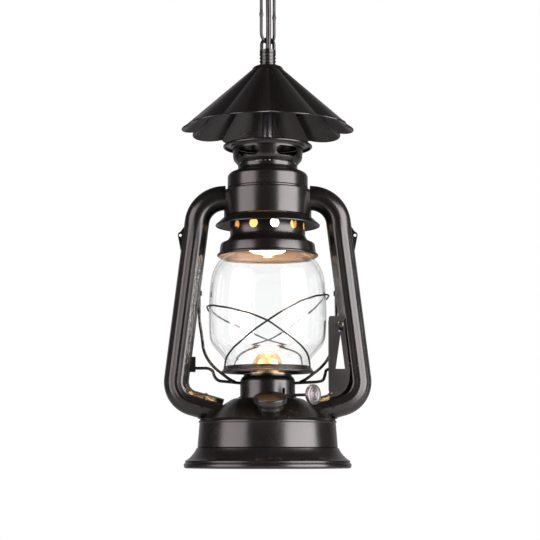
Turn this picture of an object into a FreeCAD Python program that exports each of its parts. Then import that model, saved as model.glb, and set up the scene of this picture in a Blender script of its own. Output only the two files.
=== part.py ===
"""Electrified barn lantern hung from a short chain: every piece as its own solid, in millimetres.

Heights in this file are measured upwards from the underside of the lantern's base. When a piece is
written, it is moved down by DROP, so that the origin is at the ceiling, in the middle of the strap's screw line.
+Z is up, -Y is the front, where the filler cap is, and +X is the side with the lift handle.
"""

import os
from math import cos, pi, radians, sin, tan

import FreeCAD, Part
from FreeCAD import Vector

os.makedirs("parts", exist_ok=True)

UP = Vector(0, 0, 1)
ORIGIN = Vector(0, 0, 0)

# ---- driving dimensions ----
DROP = 513.0            # ceiling above the underside of the base
SHEET = 0.8             # thickness of the stamped steel
GAP = 0.3               # free space between pieces that move past each other

# tank and base
LIP_R = 71.6
WALL_FOOT_R, WALL_FOOT_H = 59.9, 17.4
WALL_TOP_R, WALL_TOP_H = 58.3, 39.4

# side tubes that carry air down from the crown to the burner
TUBE_R = 10.75
TUBE_WALL = 0.8
TUBE_PATH = ((36.6, 233.1), (58.8, 233.1), (80.2, 59.8), (40.0, 48.5))
TUBE_BENDS = (24.0, 19.0)
BAIL_HOLE_R = 1.3

# burner
COLLAR_R, COLLAR_FOOT_H, COLLAR_TOP_H = 23.6, 60.7, 80.0
SHAFT_AZIMUTH = 47.9    # degrees to the right of the front
SHAFT_R, SHAFT_H = 1.25, 61.2
SHAFT_SIDE = 5.2        # shaft's line beside the wick's middle, so that the wheels touch the wick
KNOB_R, KNOB_THICK, KNOB_REACH = 8.5, 3.8, 53.8
WICK_WHEEL_R = 4.0

# filler
CAP_R, CAP_HEIGHT = 13.7, 5.5
CAP_TOP = Vector(2.3, -45.0, 59.8)
CAP_TILT = 20.0
NECK_R, NECK_BORE_R = 10.8, 9.4
THREAD_PITCH = 2.0
GASKET = 1.0

# globe
GLOBE_WALL = 1.6
GLOBE_FOOT_H = 85.4
GLOBE_TRAVEL = 4.0
SIDE_WIRE = (
    (59.6, 12.6, 162.0), (59.6, 12.6, 128.0), (57.0, 11.0, 113.0), (55.6, 9.0, 101.0), (51.4, 6.6, 92.4),
    (45.6, 4.4, 85.6), (38.6, 3.2, 80.2), (33.0, 3.0, 75.9), (27.8, 3.0, 73.4),
)
HANDLE_FRONT, HANDLE_BACK = -10.8, -9.8
RIVET_X, RIVET_H = 62.5, 122.1

# hood, band and drums
BAND_R, BAND_FOOT_H, BAND_TOP_H = 32.6, 201.4, 216.0
BAND_HOLES, BAND_HOLE_R, BAND_HOLE_H, BAND_HOLE_TURN = 11, 3.85, 207.2, 10.8
DRUM_R, DRUM_FOOT_H, DRUM_TOP_H = 38.0, 216.6, 239.8
UPPER_DRUM_R, UPPER_DRUM_TOP_H = 34.9, 252.7
NECK_TOP_R, NECK_TOP_H = 25.9, 262.0
CROWN_TOP_R, CROWN_TOP_H = 30.6, 276.4
CROWN_WINDOWS, WINDOW_WIDTH, WINDOW_HEIGHT, WINDOW_H = 5, 22.5, 8.4, 270.6
CAP_FLANGE_R, CAP_FLANGE_H = 38.9, 278.4

# shade
PETALS = 10
PETAL_TURN = 2.2
SHADE_TOP_R, SHADE_TOP_H = 12.3, 348.6
SHADE_RIM_H = 293.4
SHADE_RIM_CREASE_R, SHADE_RIM_MIDDLE_R = 69.4, 75.2
SHADE_WALL = 1.0

# stem and hanging pieces
STEM_R, STEM_BORE = 4.8, 3.9
STEM_FOOT_H, STEM_TOP_H = 264.0, 360.0
STEM_COLLAR_R, STEM_COLLAR_FOOT_H, STEM_COLLAR_TOP_H = 7.3, 349.9, 361.9
LOOP_ROD_R, LOOP_RADIUS, LOOP_BAR_H = 1.5, 5.4, 374.9
LINK_ROD_R, LINK_WIDTH, LINK_LENGTH = 1.35, 18.7, 51.5
LINK_TURN = 45.0
LINK_GAP = 0.7          # free space between a link and the loop it hangs on

# ceiling fitting
CANOPY_R, CANOPY_HEIGHT = 60.0, 25.0
CANOPY_FOOT_H = DROP - CANOPY_HEIGHT
CANOPY_COLLAR_FOOT_H = 477.0
CANOPY_LOOP_BAR_H = 462.6
NIPPLE_R = 5.15
CONNECTOR_PLACES = ((-24.0, -6.0), (-24.0, 8.0))
STRAP_LENGTH, STRAP_WIDTH, STRAP_THICK = 106.0, 14.0, 1.6
STRAP_HOLES, STRAP_HOLE_R = 88.9, 2.2

# cord
CORD_R = 2.3
CORD_ROUTE = (
    (0.0, 0.0, 352.0),
    (0.0, -0.6, 361.0),
    (0.7, -5.1, 371.3),
    (0.9, -5.5, 392.0),
    (0.3, -5.6, 420.0),
    (-2.6, -4.6, 441.0),
    (-4.9, -1.6, 459.0),
    (-4.3, -0.6, 468.0),
    (-0.6, -0.1, 477.5),
    (0.0, 0.0, 487.0),
)


# ---- helpers ----
def write(name, shape):
    """Move a finished piece down to its place under the ceiling and write its STEP file."""
    placed = shape.copy()
    placed.translate(Vector(0, 0, -DROP))
    if not placed.isValid() or placed.Volume <= 0 or not placed.Solids:
        print("BAD SOLID", name, placed.ShapeType, placed.isValid(), placed.Volume)
    placed.exportStep(f"parts/{name}.step")
    print(f"{name:22s} solids {len(placed.Solids):2d}  volume {placed.Volume:10.1f} mm3")


def outline(start, *steps):
    """Open outline of radius and height: a step (r, h) is a line, and ((r, h), (r, h)) an arc through both."""
    edges = []
    last = Vector(start[0], 0, start[1])
    for step in steps:
        if isinstance(step[0], tuple):
            middle, end = (Vector(r, 0, h) for r, h in step)
            edges.append(Part.Arc(last, middle, end).toShape())
        else:
            end = Vector(step[0], 0, step[1])
            edges.append(Part.makeLine(last, end))
        last = end
    return Part.Wire(edges)


def spun(face):
    """Turn a flat face once round the vertical axis."""
    solid = face.revolve(ORIGIN, UP, 360)
    return solid if solid.Volume > 0 else solid.reversed()


def turned_sheet(thickness, start, *steps):
    """Spun sheet: an outline that runs upwards is its outer side, and the wall lies inside it."""
    return spun(outline(start, *steps).makeOffset2D(thickness, 0, True, True))


def turned(start, *steps):
    """Spun solid from a closed outline."""
    wire = outline(start, *steps, start)
    return spun(Part.Face(wire))


def disc(radius, low, high, bore=0.0, x=0.0, y=0.0):
    """Upright cylinder, with a bore when one is given."""
    solid = Part.makeCylinder(radius, high - low, Vector(x, y, low))
    if bore:
        solid = solid.cut(Part.makeCylinder(bore, high - low + 2, Vector(x, y, low - 1)))
    return solid


def block(x, y, z):
    """Box from three (low, high) pairs."""
    return Part.makeBox(x[1] - x[0], y[1] - y[0], z[1] - z[0], Vector(x[0], y[0], z[0]))


def rounded_slot(width, height, front, depth):
    """Level slot with round ends, centred on the axis and running back from a Y."""
    reach, radius = (width - height) / 2, height / 2
    places = ((-reach, -radius), (reach, -radius), (reach, radius), (-reach, radius))
    corners = [Vector(x, front, z) for x, z in places]
    tips = [Vector(side * (reach + radius), front, 0) for side in (1, -1)]
    edges = [Part.makeLine(corners[0], corners[1]), Part.Arc(corners[1], tips[0], corners[2]).toShape(),
             Part.makeLine(corners[2], corners[3]), Part.Arc(corners[3], tips[1], corners[0]).toShape()]
    return Part.Face(Part.Wire(edges)).extrude(Vector(0, depth, 0))


def turned_about(shape, angle):
    """Copy of a shape, turned about the vertical axis."""
    copy = shape.copy()
    copy.rotate(ORIGIN, UP, angle)
    return copy


def mirrored(shape):
    """Copy of a shape on the other side of the plane X = 0."""
    return shape.mirror(ORIGIN, Vector(1, 0, 0))


def around(azimuth, radius, height):
    """Point at an azimuth in degrees, counted from the front towards +X."""
    return Vector(radius * sin(radians(azimuth)), -radius * cos(radians(azimuth)), height)


def fused(shapes):
    """One solid from pieces that touch or overlap."""
    return shapes[0].fuse(shapes[1:]).removeSplitter()


def route(points, bend=None, radii=None):
    """Straight runs joined by tangent arcs. Without a bend radius, each arc is as large as its runs allow."""
    edges = []
    last = points[0]
    for k in range(1, len(points) - 1):
        before, here, after = points[k - 1], points[k], points[k + 1]
        into, out = (here - before), (after - here)
        half = into.getAngle(out) / 2
        radius = bend[k - 1] if bend else 0.45 * min(into.Length, out.Length) / tan(half)
        if radii is not None:
            radii.append(radius)
        cut = radius * tan(half)
        start = here - Vector(into).normalize() * cut
        end = here + Vector(out).normalize() * cut
        inward = (Vector(out).normalize() - Vector(into).normalize()).normalize()
        middle = here + inward * (radius / cos(half) - radius)
        edges.append(Part.makeLine(last, start))
        edges.append(Part.Arc(start, middle, end).toShape())
        last = end
    edges.append(Part.makeLine(last, points[-1]))
    return Part.Wire(edges)


def rod(points, radius, bend=None, radii=None):
    """Round bar along a route."""
    path = route([Vector(*p) for p in points], bend, radii)
    start = path.Edges[0].Vertexes[0].Point
    direction = path.Edges[0].tangentAt(path.Edges[0].FirstParameter)
    ring = Part.Wire(Part.makeCircle(radius, start, direction))
    return path.makePipeShell([ring], True, False), path


def spread(stations, step):
    """Points along (azimuth, radius, height) stations, no more than a step of azimuth apart."""
    points = []
    for (a0, r0, h0), (a1, r1, h1) in zip(stations, stations[1:]):
        count = max(1, round(abs(a1 - a0) / step))
        for k in range(count):
            t = k / count
            points.append(around(a0 + (a1 - a0) * t, r0 + (r1 - r0) * t, h0 + (h1 - h0) * t))
    points.append(around(*stations[-1]))
    return [tuple(p) for p in points]


# ---- tank ----
def tank_base():
    """Flared foot with a rolled lip, below the tank's wall."""
    return turned_sheet(
        SHEET, (LIP_R - 3.4, 0.0), ((LIP_R, 2.6), (LIP_R - 1.4, 5.4)),
        ((65.0, 11.4), (WALL_FOOT_R + 0.2, WALL_FOOT_H)), (WALL_FOOT_R - 1.0, WALL_FOOT_H),
    )


def tank_bottom():
    """Dished floor of the tank, set up inside the foot."""
    return turned_sheet(SHEET, (1.0, 11.0), (40.0, 11.0), ((50.0, 12.0), (57.0, 16.0)),
                        (WALL_FOOT_R - 1.9, 20.5)).fuse(disc(1.2, 10.9, 11.9)).removeSplitter()


def tank_shell():
    """Tank wall, with a crimped edge at the top."""
    foot_h, top_h = WALL_FOOT_H + 0.1, WALL_TOP_H
    return turned((WALL_FOOT_R - SHEET, foot_h), (WALL_FOOT_R, foot_h), (WALL_TOP_R, top_h - 1.0),
                  (WALL_TOP_R + 0.5, top_h - 0.6), (WALL_TOP_R + 0.5, top_h), (WALL_TOP_R - SHEET, top_h))


def tank_dome_profile():
    """Outer outline of the dome, from the tank's edge up to the burner collar."""
    return (
        (WALL_TOP_R + 0.5, WALL_TOP_H + 0.1), (WALL_TOP_R + 0.5, WALL_TOP_H + 1.0),
        ((57.6, 41.2), (56.2, 41.9)), (45.7, 49.1), (33.6, 56.7), ((28.6, 59.2), (25.2, 59.7)), (22.0, 59.8),
    )


def tank_dome(tubes, neck, shaft):
    """Domed top of the tank, open for the side tubes, the filler neck and the wick shaft."""
    start, *steps = tank_dome_profile()
    return turned_sheet(SHEET, start, *steps).cut(tubes).cut(neck).cut(shaft)


def dome_fill():
    """Everything under the dome's outer side, which trims the pieces that stand on it."""
    start, *steps = tank_dome_profile()
    return turned((0.0, WALL_TOP_H), (start[0], WALL_TOP_H), start, *steps, (0.0, 59.8))


# ---- side tubes ----
def tube_solid(radius):
    """Right tube as a solid bar of a radius."""
    points = [(x, 0.0, h) for x, h in TUBE_PATH]
    return rod(points, radius, bend=TUBE_BENDS)[0]


def air_tube(trim):
    """Right air tube, hollow, trimmed where it meets the tank."""
    return tube_solid(TUBE_R).cut(tube_solid(TUBE_R - TUBE_WALL)).cut(trim)


def tube_ferrule(trim):
    """Solder ring where the right tube meets the tank."""
    path = route([Vector(x, 0, h) for x, h in TUBE_PATH], TUBE_BENDS)
    last = path.Edges[-1]
    foot = last.valueAt(last.FirstParameter + 0.32 * (last.LastParameter - last.FirstParameter))
    along = last.tangentAt(last.LastParameter)
    ring = Part.makeCylinder(TUBE_R + 0.7, 2.2, foot, along)
    ring = ring.cut(Part.makeCylinder(TUBE_R, 4.2, foot - along, along))
    return ring.cut(trim)


def tube_line(height):
    """X of the right tube's centreline on its straight stretch, at a height."""
    (x0, h0), (x1, h1) = TUBE_PATH[1], TUBE_PATH[2]
    return x0 + (x1 - x0) * (h0 - height) / (h0 - h1)


def bail_ear(height=200.5):
    """Drop-shaped ear with a hole, on the outer side of the right tube."""
    centre = Vector(tube_line(height) + TUBE_R + 1.0, -0.8, height)
    ear = Part.makeCylinder(3.4, 1.6, centre, Vector(0, 1, 0))
    low, high = height - 13.0, height + 7.0
    foot, head = (tube_line(h) + TUBE_R for h in (low, high))
    corners = [(centre.x + 3.2, height - 1.1), (foot + 0.3, low), (foot - 2.0, low), (head - 2.0, high),
               (head + 0.3, high), (centre.x + 1.0, height + 3.2)]
    sheet = Part.Face(Part.makePolygon([Vector(x, -0.8, h) for x, h in corners + corners[:1]]))
    hole = Part.makeCylinder(BAIL_HOLE_R, 4, centre + Vector(1.2, -1, 0), Vector(0, 1, 0))
    return ear.fuse(sheet.extrude(Vector(0, 1.6, 0))).cut(hole).cut(tube_solid(TUBE_R)).removeSplitter()


# ---- burner ----
def shaft_direction():
    """Unit vector of the wick shaft, outwards."""
    return around(SHAFT_AZIMUTH, 1.0, 0.0)


def shaft_point(along):
    """Point on the wick shaft's line, at a distance outwards from its place beside the wick."""
    beside = around(SHAFT_AZIMUTH - 90, SHAFT_SIDE, SHAFT_H)
    return beside + shaft_direction() * along


def on_shaft(radius, start, length):
    """Cylinder on the wick shaft's line."""
    return Part.makeCylinder(radius, length, shaft_point(start), shaft_direction())


def burner_collar():
    """Collar on the tank, with a keyhole for the wick shaft."""
    collar = turned_sheet(
        SHEET, (COLLAR_R + 1.2, COLLAR_FOOT_H), (COLLAR_R, COLLAR_FOOT_H), (COLLAR_R, 72.3),
        ((22.9, 75.9), (20.6, 78.4)), (20.6, COLLAR_TOP_H),
    )
    key = block((-1.3, 1.3), (-12, 12), (0, 6.4))
    key.rotate(ORIGIN, UP, SHAFT_AZIMUTH)
    key.translate(shaft_point(COLLAR_R))
    return collar.cut(key).cut(on_shaft(SHAFT_R + GAP, 5.0, KNOB_REACH))


def burner_cone():
    """Flame spreader that stands up inside the globe, slotted for the wick."""
    cone = turned((9.6, 79.4), (19.7, 79.4), (19.7, 80.6), (14.0, 80.6), (13.2, 88.0), (11.4, 94.0), (8.4, 97.4),
                  (7.8, 97.0), (10.8, 93.7), (12.6, 87.8), (13.4, 80.6), (9.6, 80.6))
    lid = disc(8.2, 96.9, 97.5)
    slot = block((-7.5, 7.5), (-2.1, 2.1), (90, 110))
    slot.rotate(ORIGIN, UP, SHAFT_AZIMUTH - 90)
    return cone.fuse(lid).cut(slot).removeSplitter()


def flat_bar(length, width, low, high):
    """Upright bar of oblong section, its flat beside the wick shaft."""
    bar = block((-length / 2, length / 2), (-width / 2, width / 2), (low, high))
    bar.rotate(ORIGIN, UP, SHAFT_AZIMUTH - 90)
    return bar


def wick_tube():
    """Flat tube that holds the wick, cut open on the side where the wick wheels bite."""
    tube = flat_bar(14.2, 3.8, 44.0, 96.4).cut(flat_bar(13.4, 3.0, 43.0, 97.4))
    return tube.cut(on_shaft(WICK_WHEEL_R + 1.0, -20.0, 40.0))


def wick():
    """Flat cotton wick inside its tube."""
    return flat_bar(12.6, 2.2, 38.0, 97.6)


def wick_shaft():
    """Shaft from the wick wheels out to the knob."""
    return on_shaft(SHAFT_R, -9.0, KNOB_REACH + 9.0 + KNOB_THICK * 0.5)


def wick_wheels():
    """Two toothed wheels on the shaft."""
    wheels = []
    for place in (-4.0, 3.0):
        at = shaft_point(place)
        wheel = on_shaft(WICK_WHEEL_R, place, 1.0)
        for k in range(12):
            notch = Part.makeCylinder(0.45, 3, at + UP * WICK_WHEEL_R - shaft_direction(), shaft_direction())
            notch.rotate(at, shaft_direction(), 30 * k)
            wheel = wheel.cut(notch)
        wheels.append(wheel.cut(wick_shaft()))
    return Part.makeCompound(wheels)


def wick_knob():
    """Round knob on the shaft's end, with rings turned in its face and a notched rim."""
    face = turned((0.0, 0.0), (KNOB_R - 0.6, 0.0), (KNOB_R, 0.6), (KNOB_R, 3.2), (KNOB_R - 0.6, KNOB_THICK),
                  (6.6, KNOB_THICK), (6.2, 3.1), (3.9, 3.1), (3.5, KNOB_THICK), (0.0, KNOB_THICK))
    for k in range(36):
        notch = disc(0.32, -1, 5, x=KNOB_R + 0.12)
        notch.rotate(ORIGIN, UP, 10 * k)
        face = face.cut(notch)
    face.rotate(ORIGIN, Vector(1, 0, 0), 90)
    face.rotate(ORIGIN, UP, SHAFT_AZIMUTH)
    face.translate(shaft_point(KNOB_REACH))
    return face.cut(wick_shaft())


# ---- filler ----
def on_filler_axis(shape):
    """Carry a shape from the vertical axis, with the cap's top at height 0, to the filler's tilted axis."""
    shape.rotate(ORIGIN, Vector(1, 0, 0), CAP_TILT)
    shape.translate(CAP_TOP)
    return shape


def filler_neck(trim):
    """Threaded neck on the dome, under the cap."""
    top = -1.2 - GASKET - 2 * GAP
    steps = [(NECK_BORE_R, -16.0), (NECK_R - 0.6, -16.0)]
    height = -15.0
    while height < top - 2.0:
        steps += [(NECK_R - 0.6, height), (NECK_R, height + 0.7)]
        steps += [(NECK_R, height + 1.0), (NECK_R - 0.6, height + 1.7)]
        height += THREAD_PITCH
    steps += [(NECK_R - 0.6, top), (NECK_BORE_R, top)]
    return on_filler_axis(turned(*steps)).cut(trim)


def filler_bore():
    """Opening in the dome for the neck."""
    return on_filler_axis(disc(NECK_BORE_R, -30.0, -2.0))


def filler_gasket():
    """Cork washer between the neck and the cap."""
    return on_filler_axis(disc(10.6, -1.2 - GASKET - GAP, -1.2 - GAP, 7.5))


def filler_cap():
    """Screw cap with a fluted edge and a shallow dished top."""
    cap = turned((0.0, -1.2), (0.0, -0.3), ((6.0, -0.15), (11.2, -0.1)), ((12.6, -0.1), (CAP_R, -1.2)),
                 (CAP_R, -CAP_HEIGHT + 0.5), (CAP_R - 0.4, -CAP_HEIGHT), (11.4, -CAP_HEIGHT), (11.4, -1.2))
    for k in range(40):
        notch = disc(0.42, -8, -1.4, x=CAP_R + 0.2)
        notch.rotate(ORIGIN, UP, 9 * k)
        cap = cap.cut(notch)
    return on_filler_axis(cap)


# ---- globe and what lifts with it ----
def globe():
    """Clear barrel globe with a narrow foot and a shouldered neck."""
    return turned_sheet(
        GLOBE_WALL, (34.6, GLOBE_FOOT_H), (35.2, 90.0), ((41.4, 97.6), (48.1, 104.9)),
        ((51.0, 128.0), (49.1, 159.4)), ((46.6, 169.8), (41.4, 178.4)), ((37.8, 183.6), (33.2, 186.2)),
        (30.4, 188.0),
    )


def globe_plate():
    """Dished plate that carries the globe."""
    return turned_sheet(
        SHEET, (39.8, 81.4), (39.8, 82.2), (36.6, 86.6), (35.6, 86.9), (34.9, 85.3), (30.0, 84.6),
        (17.5, 84.6),
    )


def guard_wires():
    """Two wires that cross in front of the globe and behind it."""
    rising = ((-66, 40.2, 83.4), (-62, 40.4, 91.0), (-45, 44.6, 97.4), (-27, 50.6, 104.8), (-14, 52.8, 113.5),
              (1, 53.8, 122.6), (13, 53.8, 130.0), (31, 53.4, 138.9), (50, 53.2, 144.5), (74, 52.9, 147.4),
              (96, 52.9, 147.4), (115, 52.9, 144.2), (144, 53.4, 132.4), (160, 53.4, 123.0), (179, 53.2, 112.0),
              (200, 51.4, 104.8), (214, 46.8, 99.0), (228, 41.6, 91.5), (232, 40.2, 83.4))
    falling = ((64, 40.2, 83.4), (60, 40.6, 92.0), (36, 48.2, 102.0), (17, 51.6, 112.0), (1, 52.1, 121.8),
               (-16, 52.4, 128.4), (-40, 52.5, 134.0), (-65, 52.5, 137.6), (-90, 52.5, 138.0),
               (-123, 52.6, 131.5), (-149, 52.4, 124.8), (-166, 52.2, 118.4), (-181, 51.4, 111.5),
               (-205, 50.0, 104.2), (-219, 46.4, 99.4), (-231, 41.6, 92.0), (-235, 40.2, 83.4))
    return Part.makeCompound([rod(spread(stations, 11.0), 0.8)[0] for stations in (rising, falling)])


def side_guard_wires():
    """Stout wires at both sides that carry the plate and slide in eyelets behind the tubes."""
    right = rod(SIDE_WIRE, 1.3)[0]
    return Part.makeCompound([right, mirrored(right)])


def lift_wire():
    """Cross wire under the plate, bowed round the back of the burner collar."""
    points = ((-64.8, 0, 85.2), (-51.3, 0, 85.3), (-47.0, 0, 83.2), (-45.8, 0, 78.0), (-42.4, 0, 74.4),
              (-29.0, 0.4, 73.1), (-25.2, 10.0, 73.0), (-17.0, 20.4, 73.0), (0, 26.6, 73.0), (17.0, 20.4, 73.0),
              (25.2, 10.0, 73.0), (29.0, 0.4, 72.9), (42.0, 0, 73.4), (47.6, 0, 74.6), (49.2, 0, 79.0),
              (50.0, 0, 84.0), (54.4, 0, 84.8))
    return rod(points, 1.3)[0]


def lift_handle():
    """Flat handle that slides on its rivet, with a folded edge to which the lift wire is hooked."""
    corner = ((52.2, 62.0), (52.2, 128.2), (53.4, 129.4), (63.4, 129.4), (64.8, 128.0), (66.4, 115.7),
              (69.7, 85.8), (70.2, 84.1), (69.7, 75.4))
    vectors = [Vector(x, HANDLE_FRONT, h) for x, h in corner]
    foot = Part.Arc(vectors[-1], Vector(65.0, HANDLE_FRONT, 65.2), Vector(54.6, HANDLE_FRONT, 60.0)).toShape()
    edges = list(Part.makePolygon(vectors).Edges) + [foot]
    edges.append(Part.makeLine(Vector(54.6, HANDLE_FRONT, 60.0), vectors[0]))
    plate = Part.Face(Part.Wire(edges)).extrude(Vector(0, HANDLE_BACK - HANDLE_FRONT, 0))
    triangle = ((62.2, 113.4), (58.0, 84.2), (66.2, 84.2), (62.2, 113.4))
    window = Part.Face(Part.makePolygon([Vector(x, HANDLE_FRONT - 1, h) for x, h in triangle]))
    window = window.extrude(Vector(0, 4, 0))
    slot = block((RIVET_X - 1.8, RIVET_X + 1.8), (-12, -8), (RIVET_H - GLOBE_TRAVEL - 1.8, RIVET_H))
    slot = slot.fuse(Part.makeCylinder(1.8, 4, Vector(RIVET_X, -12, RIVET_H), Vector(0, 1, 0)))
    hole = Part.makeCylinder(1.1, 4, Vector(54.6, -12, 62.6), Vector(0, 1, 0))
    fold = block((52.2, 53.2), (HANDLE_BACK, 2.4), (66.0, 126.0))
    fold = fold.cut(Part.makeCylinder(1.5, 4, Vector(51, 0, 84.7), Vector(1, 0, 0)))
    return plate.cut(window).cut(slot).cut(hole).fuse(fold).removeSplitter()


def handle_rivet():
    """Rivet on which the handle slides: a shank and a low domed head."""
    rivet = turned((0.0, -3.6), (1.5, -3.6), (1.5, 0.0), (3.0, 0.0), (3.0, 0.5), (2.3, 1.2), (1.2, 1.6), (0.0, 1.7))
    rivet.rotate(ORIGIN, Vector(1, 0, 0), 90)
    rivet.translate(Vector(RIVET_X, -11.1, RIVET_H))
    return rivet


def rivet_bracket():
    """Small plate on the right tube that holds the rivet."""
    plate = block((58.2, 69.0), (HANDLE_BACK + GAP, HANDLE_BACK + GAP + 1.4), (RIVET_H - 5.0, RIVET_H + 5.0))
    shank = Part.makeCylinder(1.5, 8, Vector(RIVET_X, -13.0, RIVET_H), Vector(0, 1, 0))
    return plate.cut(shank).cut(tube_solid(TUBE_R))


def wire_guides():
    """Eyelets behind both tubes for the side wires, and a forked guide for the lift wire on the left tube."""
    tube = tube_solid(TUBE_R)
    eyelet = block((57.4, 71.0), (8.6, 15.4), (149.0, 153.0))
    eyelet = eyelet.cut(tube).cut(disc(1.6, 140, 170, x=SIDE_WIRE[0][0], y=SIDE_WIRE[0][1]))
    cheek = block((62.0, 70.0), (1.6, 2.8), (82.0, 95.0)).cut(tube)
    other = block((62.0, 70.0), (-2.8, -1.6), (82.0, 95.0)).cut(tube)
    return Part.makeCompound([eyelet, mirrored(eyelet), mirrored(cheek), mirrored(other)])


# ---- hood and drums ----
def globe_hood():
    """Bell over the globe's neck, with a rolled lip."""
    return turned_sheet(
        SHEET, (42.6, 182.0), ((43.7, 182.9), (42.6, 184.2)), (41.7, 184.7), (40.8, 192.0),
        ((34.6, 195.6), (31.8, 201.4)), (31.8, 203.6),
    )


def perforated_band():
    """Ring of round holes above the hood."""
    band = disc(BAND_R, BAND_FOOT_H, BAND_TOP_H, BAND_R - SHEET)
    for k in range(BAND_HOLES):
        azimuth = BAND_HOLE_TURN + 360 * k / BAND_HOLES
        start = around(azimuth, BAND_R - 6, BAND_HOLE_H)
        band = band.cut(Part.makeCylinder(BAND_HOLE_R, 12, start, around(azimuth, 1, 0)))
    return band


def drip_flange():
    """Sloping flange over the band, with a rolled edge."""
    return turned_sheet(SHEET, (45.4, 208.6), (44.7, 209.6), (38.4, 215.5), ((37.6, 216.1), (36.6, 216.3)),
                        (BAND_R + 0.1, 216.3))


def lower_drum(tubes):
    """Drum into which the side tubes lead."""
    drum = turned_sheet(
        SHEET, (DRUM_R, DRUM_FOOT_H), (DRUM_R, DRUM_TOP_H - 1.4),
        ((DRUM_R - 0.5, DRUM_TOP_H - 0.4), (DRUM_R - 1.5, DRUM_TOP_H)), (UPPER_DRUM_R - 1.4, DRUM_TOP_H),
    )
    return drum.cut(tubes)


def upper_drum():
    """Smaller drum above it, closing in to the crown's neck."""
    return turned_sheet(
        SHEET, (UPPER_DRUM_R, DRUM_TOP_H + 0.1), (UPPER_DRUM_R, UPPER_DRUM_TOP_H - 1.6),
        ((UPPER_DRUM_R - 2.2, UPPER_DRUM_TOP_H + 2.2), (NECK_TOP_R + 1.6, 256.8)),
        ((NECK_TOP_R + 0.4, 257.4), (NECK_TOP_R, 258.8)), (NECK_TOP_R, NECK_TOP_H),
    )


def crown_body():
    """Ring of windows under the crown cap."""
    body = turned_sheet(
        SHEET, (NECK_TOP_R + 0.1, NECK_TOP_H + 0.1), (29.4, 266.0), (30.2, 268.4), (CROWN_TOP_R, CROWN_TOP_H),
        (31.9, CROWN_TOP_H + 1.6),
    )
    for k in range(CROWN_WINDOWS):
        window = rounded_slot(WINDOW_WIDTH, WINDOW_HEIGHT, -40, 25)
        window.translate(Vector(0, 0, WINDOW_H))
        body = body.cut(turned_about(window, 360 * (k + 0.5) / CROWN_WINDOWS))
    return body


def crown_cap():
    """Cap over the crown, with a rolled rim and a hole for the stem."""
    return turned_sheet(
        SHEET, (CAP_FLANGE_R - 1.2, CAP_FLANGE_H - 1.2),
        ((CAP_FLANGE_R, CAP_FLANGE_H), (CAP_FLANGE_R - 1.2, CAP_FLANGE_H + 1.1)),
        (31.0, 279.4), ((20.0, 280.4), (10.0, 281.4)), (STEM_R + 0.1, 281.4),
    )


# ---- lamp inside ----
def lamp_holder_shell():
    """Metal cup round the lamp holder."""
    return turned_sheet(SHEET, (19.2, 229.0), (19.2, 257.0), ((17.8, 261.6), (12.0, 264.0)),
                        (STEM_R + 0.1, 264.0))


def lamp_holder_core():
    """Insulating sleeve inside the cup."""
    return turned((15.2, 230.0), (18.2, 230.0), (18.2, 256.0), (6.0, 256.0), (6.0, 252.6), (15.2, 252.6))


def holder_screw_shell():
    """Threaded metal sleeve that takes the lamp cap."""
    return disc(14.9, 231.0, 252.0, 14.2)


def holder_contact():
    """Centre contact of the holder."""
    return turned((0.0, 250.4), (3.0, 250.4), (3.0, 252.2), (5.4, 252.2), (5.4, 255.0), (0.0, 255.0))


def bulb_cap():
    """Screw cap of the bulb, with a round thread."""
    steps = [(0.0, 250.2), (4.4, 250.2), (12.6, 247.8)]
    height = 246.0
    while height > 231.0:
        steps += [((13.5, height), (12.6, height - 1.4)), (12.6, height - 1.9)]
        height -= 3.6
    steps += [(12.6, 228.6), (11.2, 228.6), (11.2, 246.8), (0.0, 248.8)]
    return turned(*steps)


def bulb_glass():
    """Frosted globe bulb, hanging into the hood's mouth."""
    return turned_sheet(
        1.0, (0.4, 183.0), ((16.6, 190.4), (22.5, 206.0)), ((20.6, 215.4), (14.6, 223.2)),
        ((12.0, 225.8), (11.0, 228.4)), (11.0, 236.0),
    ).fuse(disc(0.6, 183.0, 184.0)).removeSplitter()


# ---- stem, shade and loop ----
def stem_tube():
    """Threaded tube that carries the lantern."""
    return disc(STEM_R, STEM_FOOT_H - 2.0, STEM_TOP_H, STEM_BORE)


def stem_leads():
    """Two insulated conductors inside the stem."""
    leads = [disc(1.15, 256.4, 350.5, x=side) for side in (-1.3, 1.3)]
    return Part.makeCompound(leads)


def crown_nut():
    """Round nut that clamps the crown cap to the stem."""
    return disc(7.3, 281.5, 285.0, STEM_R)


def shade_nut():
    """Six-sided nut under the shade."""
    hexagon = [Vector(8.0 * cos(radians(60 * k)), 8.0 * sin(radians(60 * k)), 340.2) for k in range(7)]
    nut = Part.Face(Part.makePolygon(hexagon)).extrude(Vector(0, 0, 4.6))
    return nut.cut(Part.makeCylinder(STEM_R, 20, Vector(0, 0, 335)))


def shade_washer():
    """Washer between the nut and the shade."""
    return disc(10.0, 345.0, 347.4, STEM_R)


def petal_ring(height, crease, middle):
    """Closed ring of arcs that bulge between the creases."""
    edges = []
    step = 360 / PETALS
    for k in range(PETALS):
        azimuth = PETAL_TURN + k * step
        edges.append(Part.Arc(around(azimuth, crease, height), around(azimuth + step / 2, middle, height),
                              around(azimuth + step, crease, height)).toShape())
    return Part.Wire(edges)


def shade():
    """Cone of ten bulging petals with a flat top."""
    outer = Part.makeLoft([petal_ring(SHADE_RIM_H, SHADE_RIM_CREASE_R, SHADE_RIM_MIDDLE_R),
                           petal_ring(SHADE_TOP_H, SHADE_TOP_R - 0.9, SHADE_TOP_R)], True, True)
    inner = outer.copy()
    inner.translate(Vector(0, 0, -SHADE_WALL))
    bore = Part.makeCylinder(STEM_R, 20, Vector(0, 0, SHADE_TOP_H - 10))
    return outer.cut(inner).cut(bore)


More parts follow.
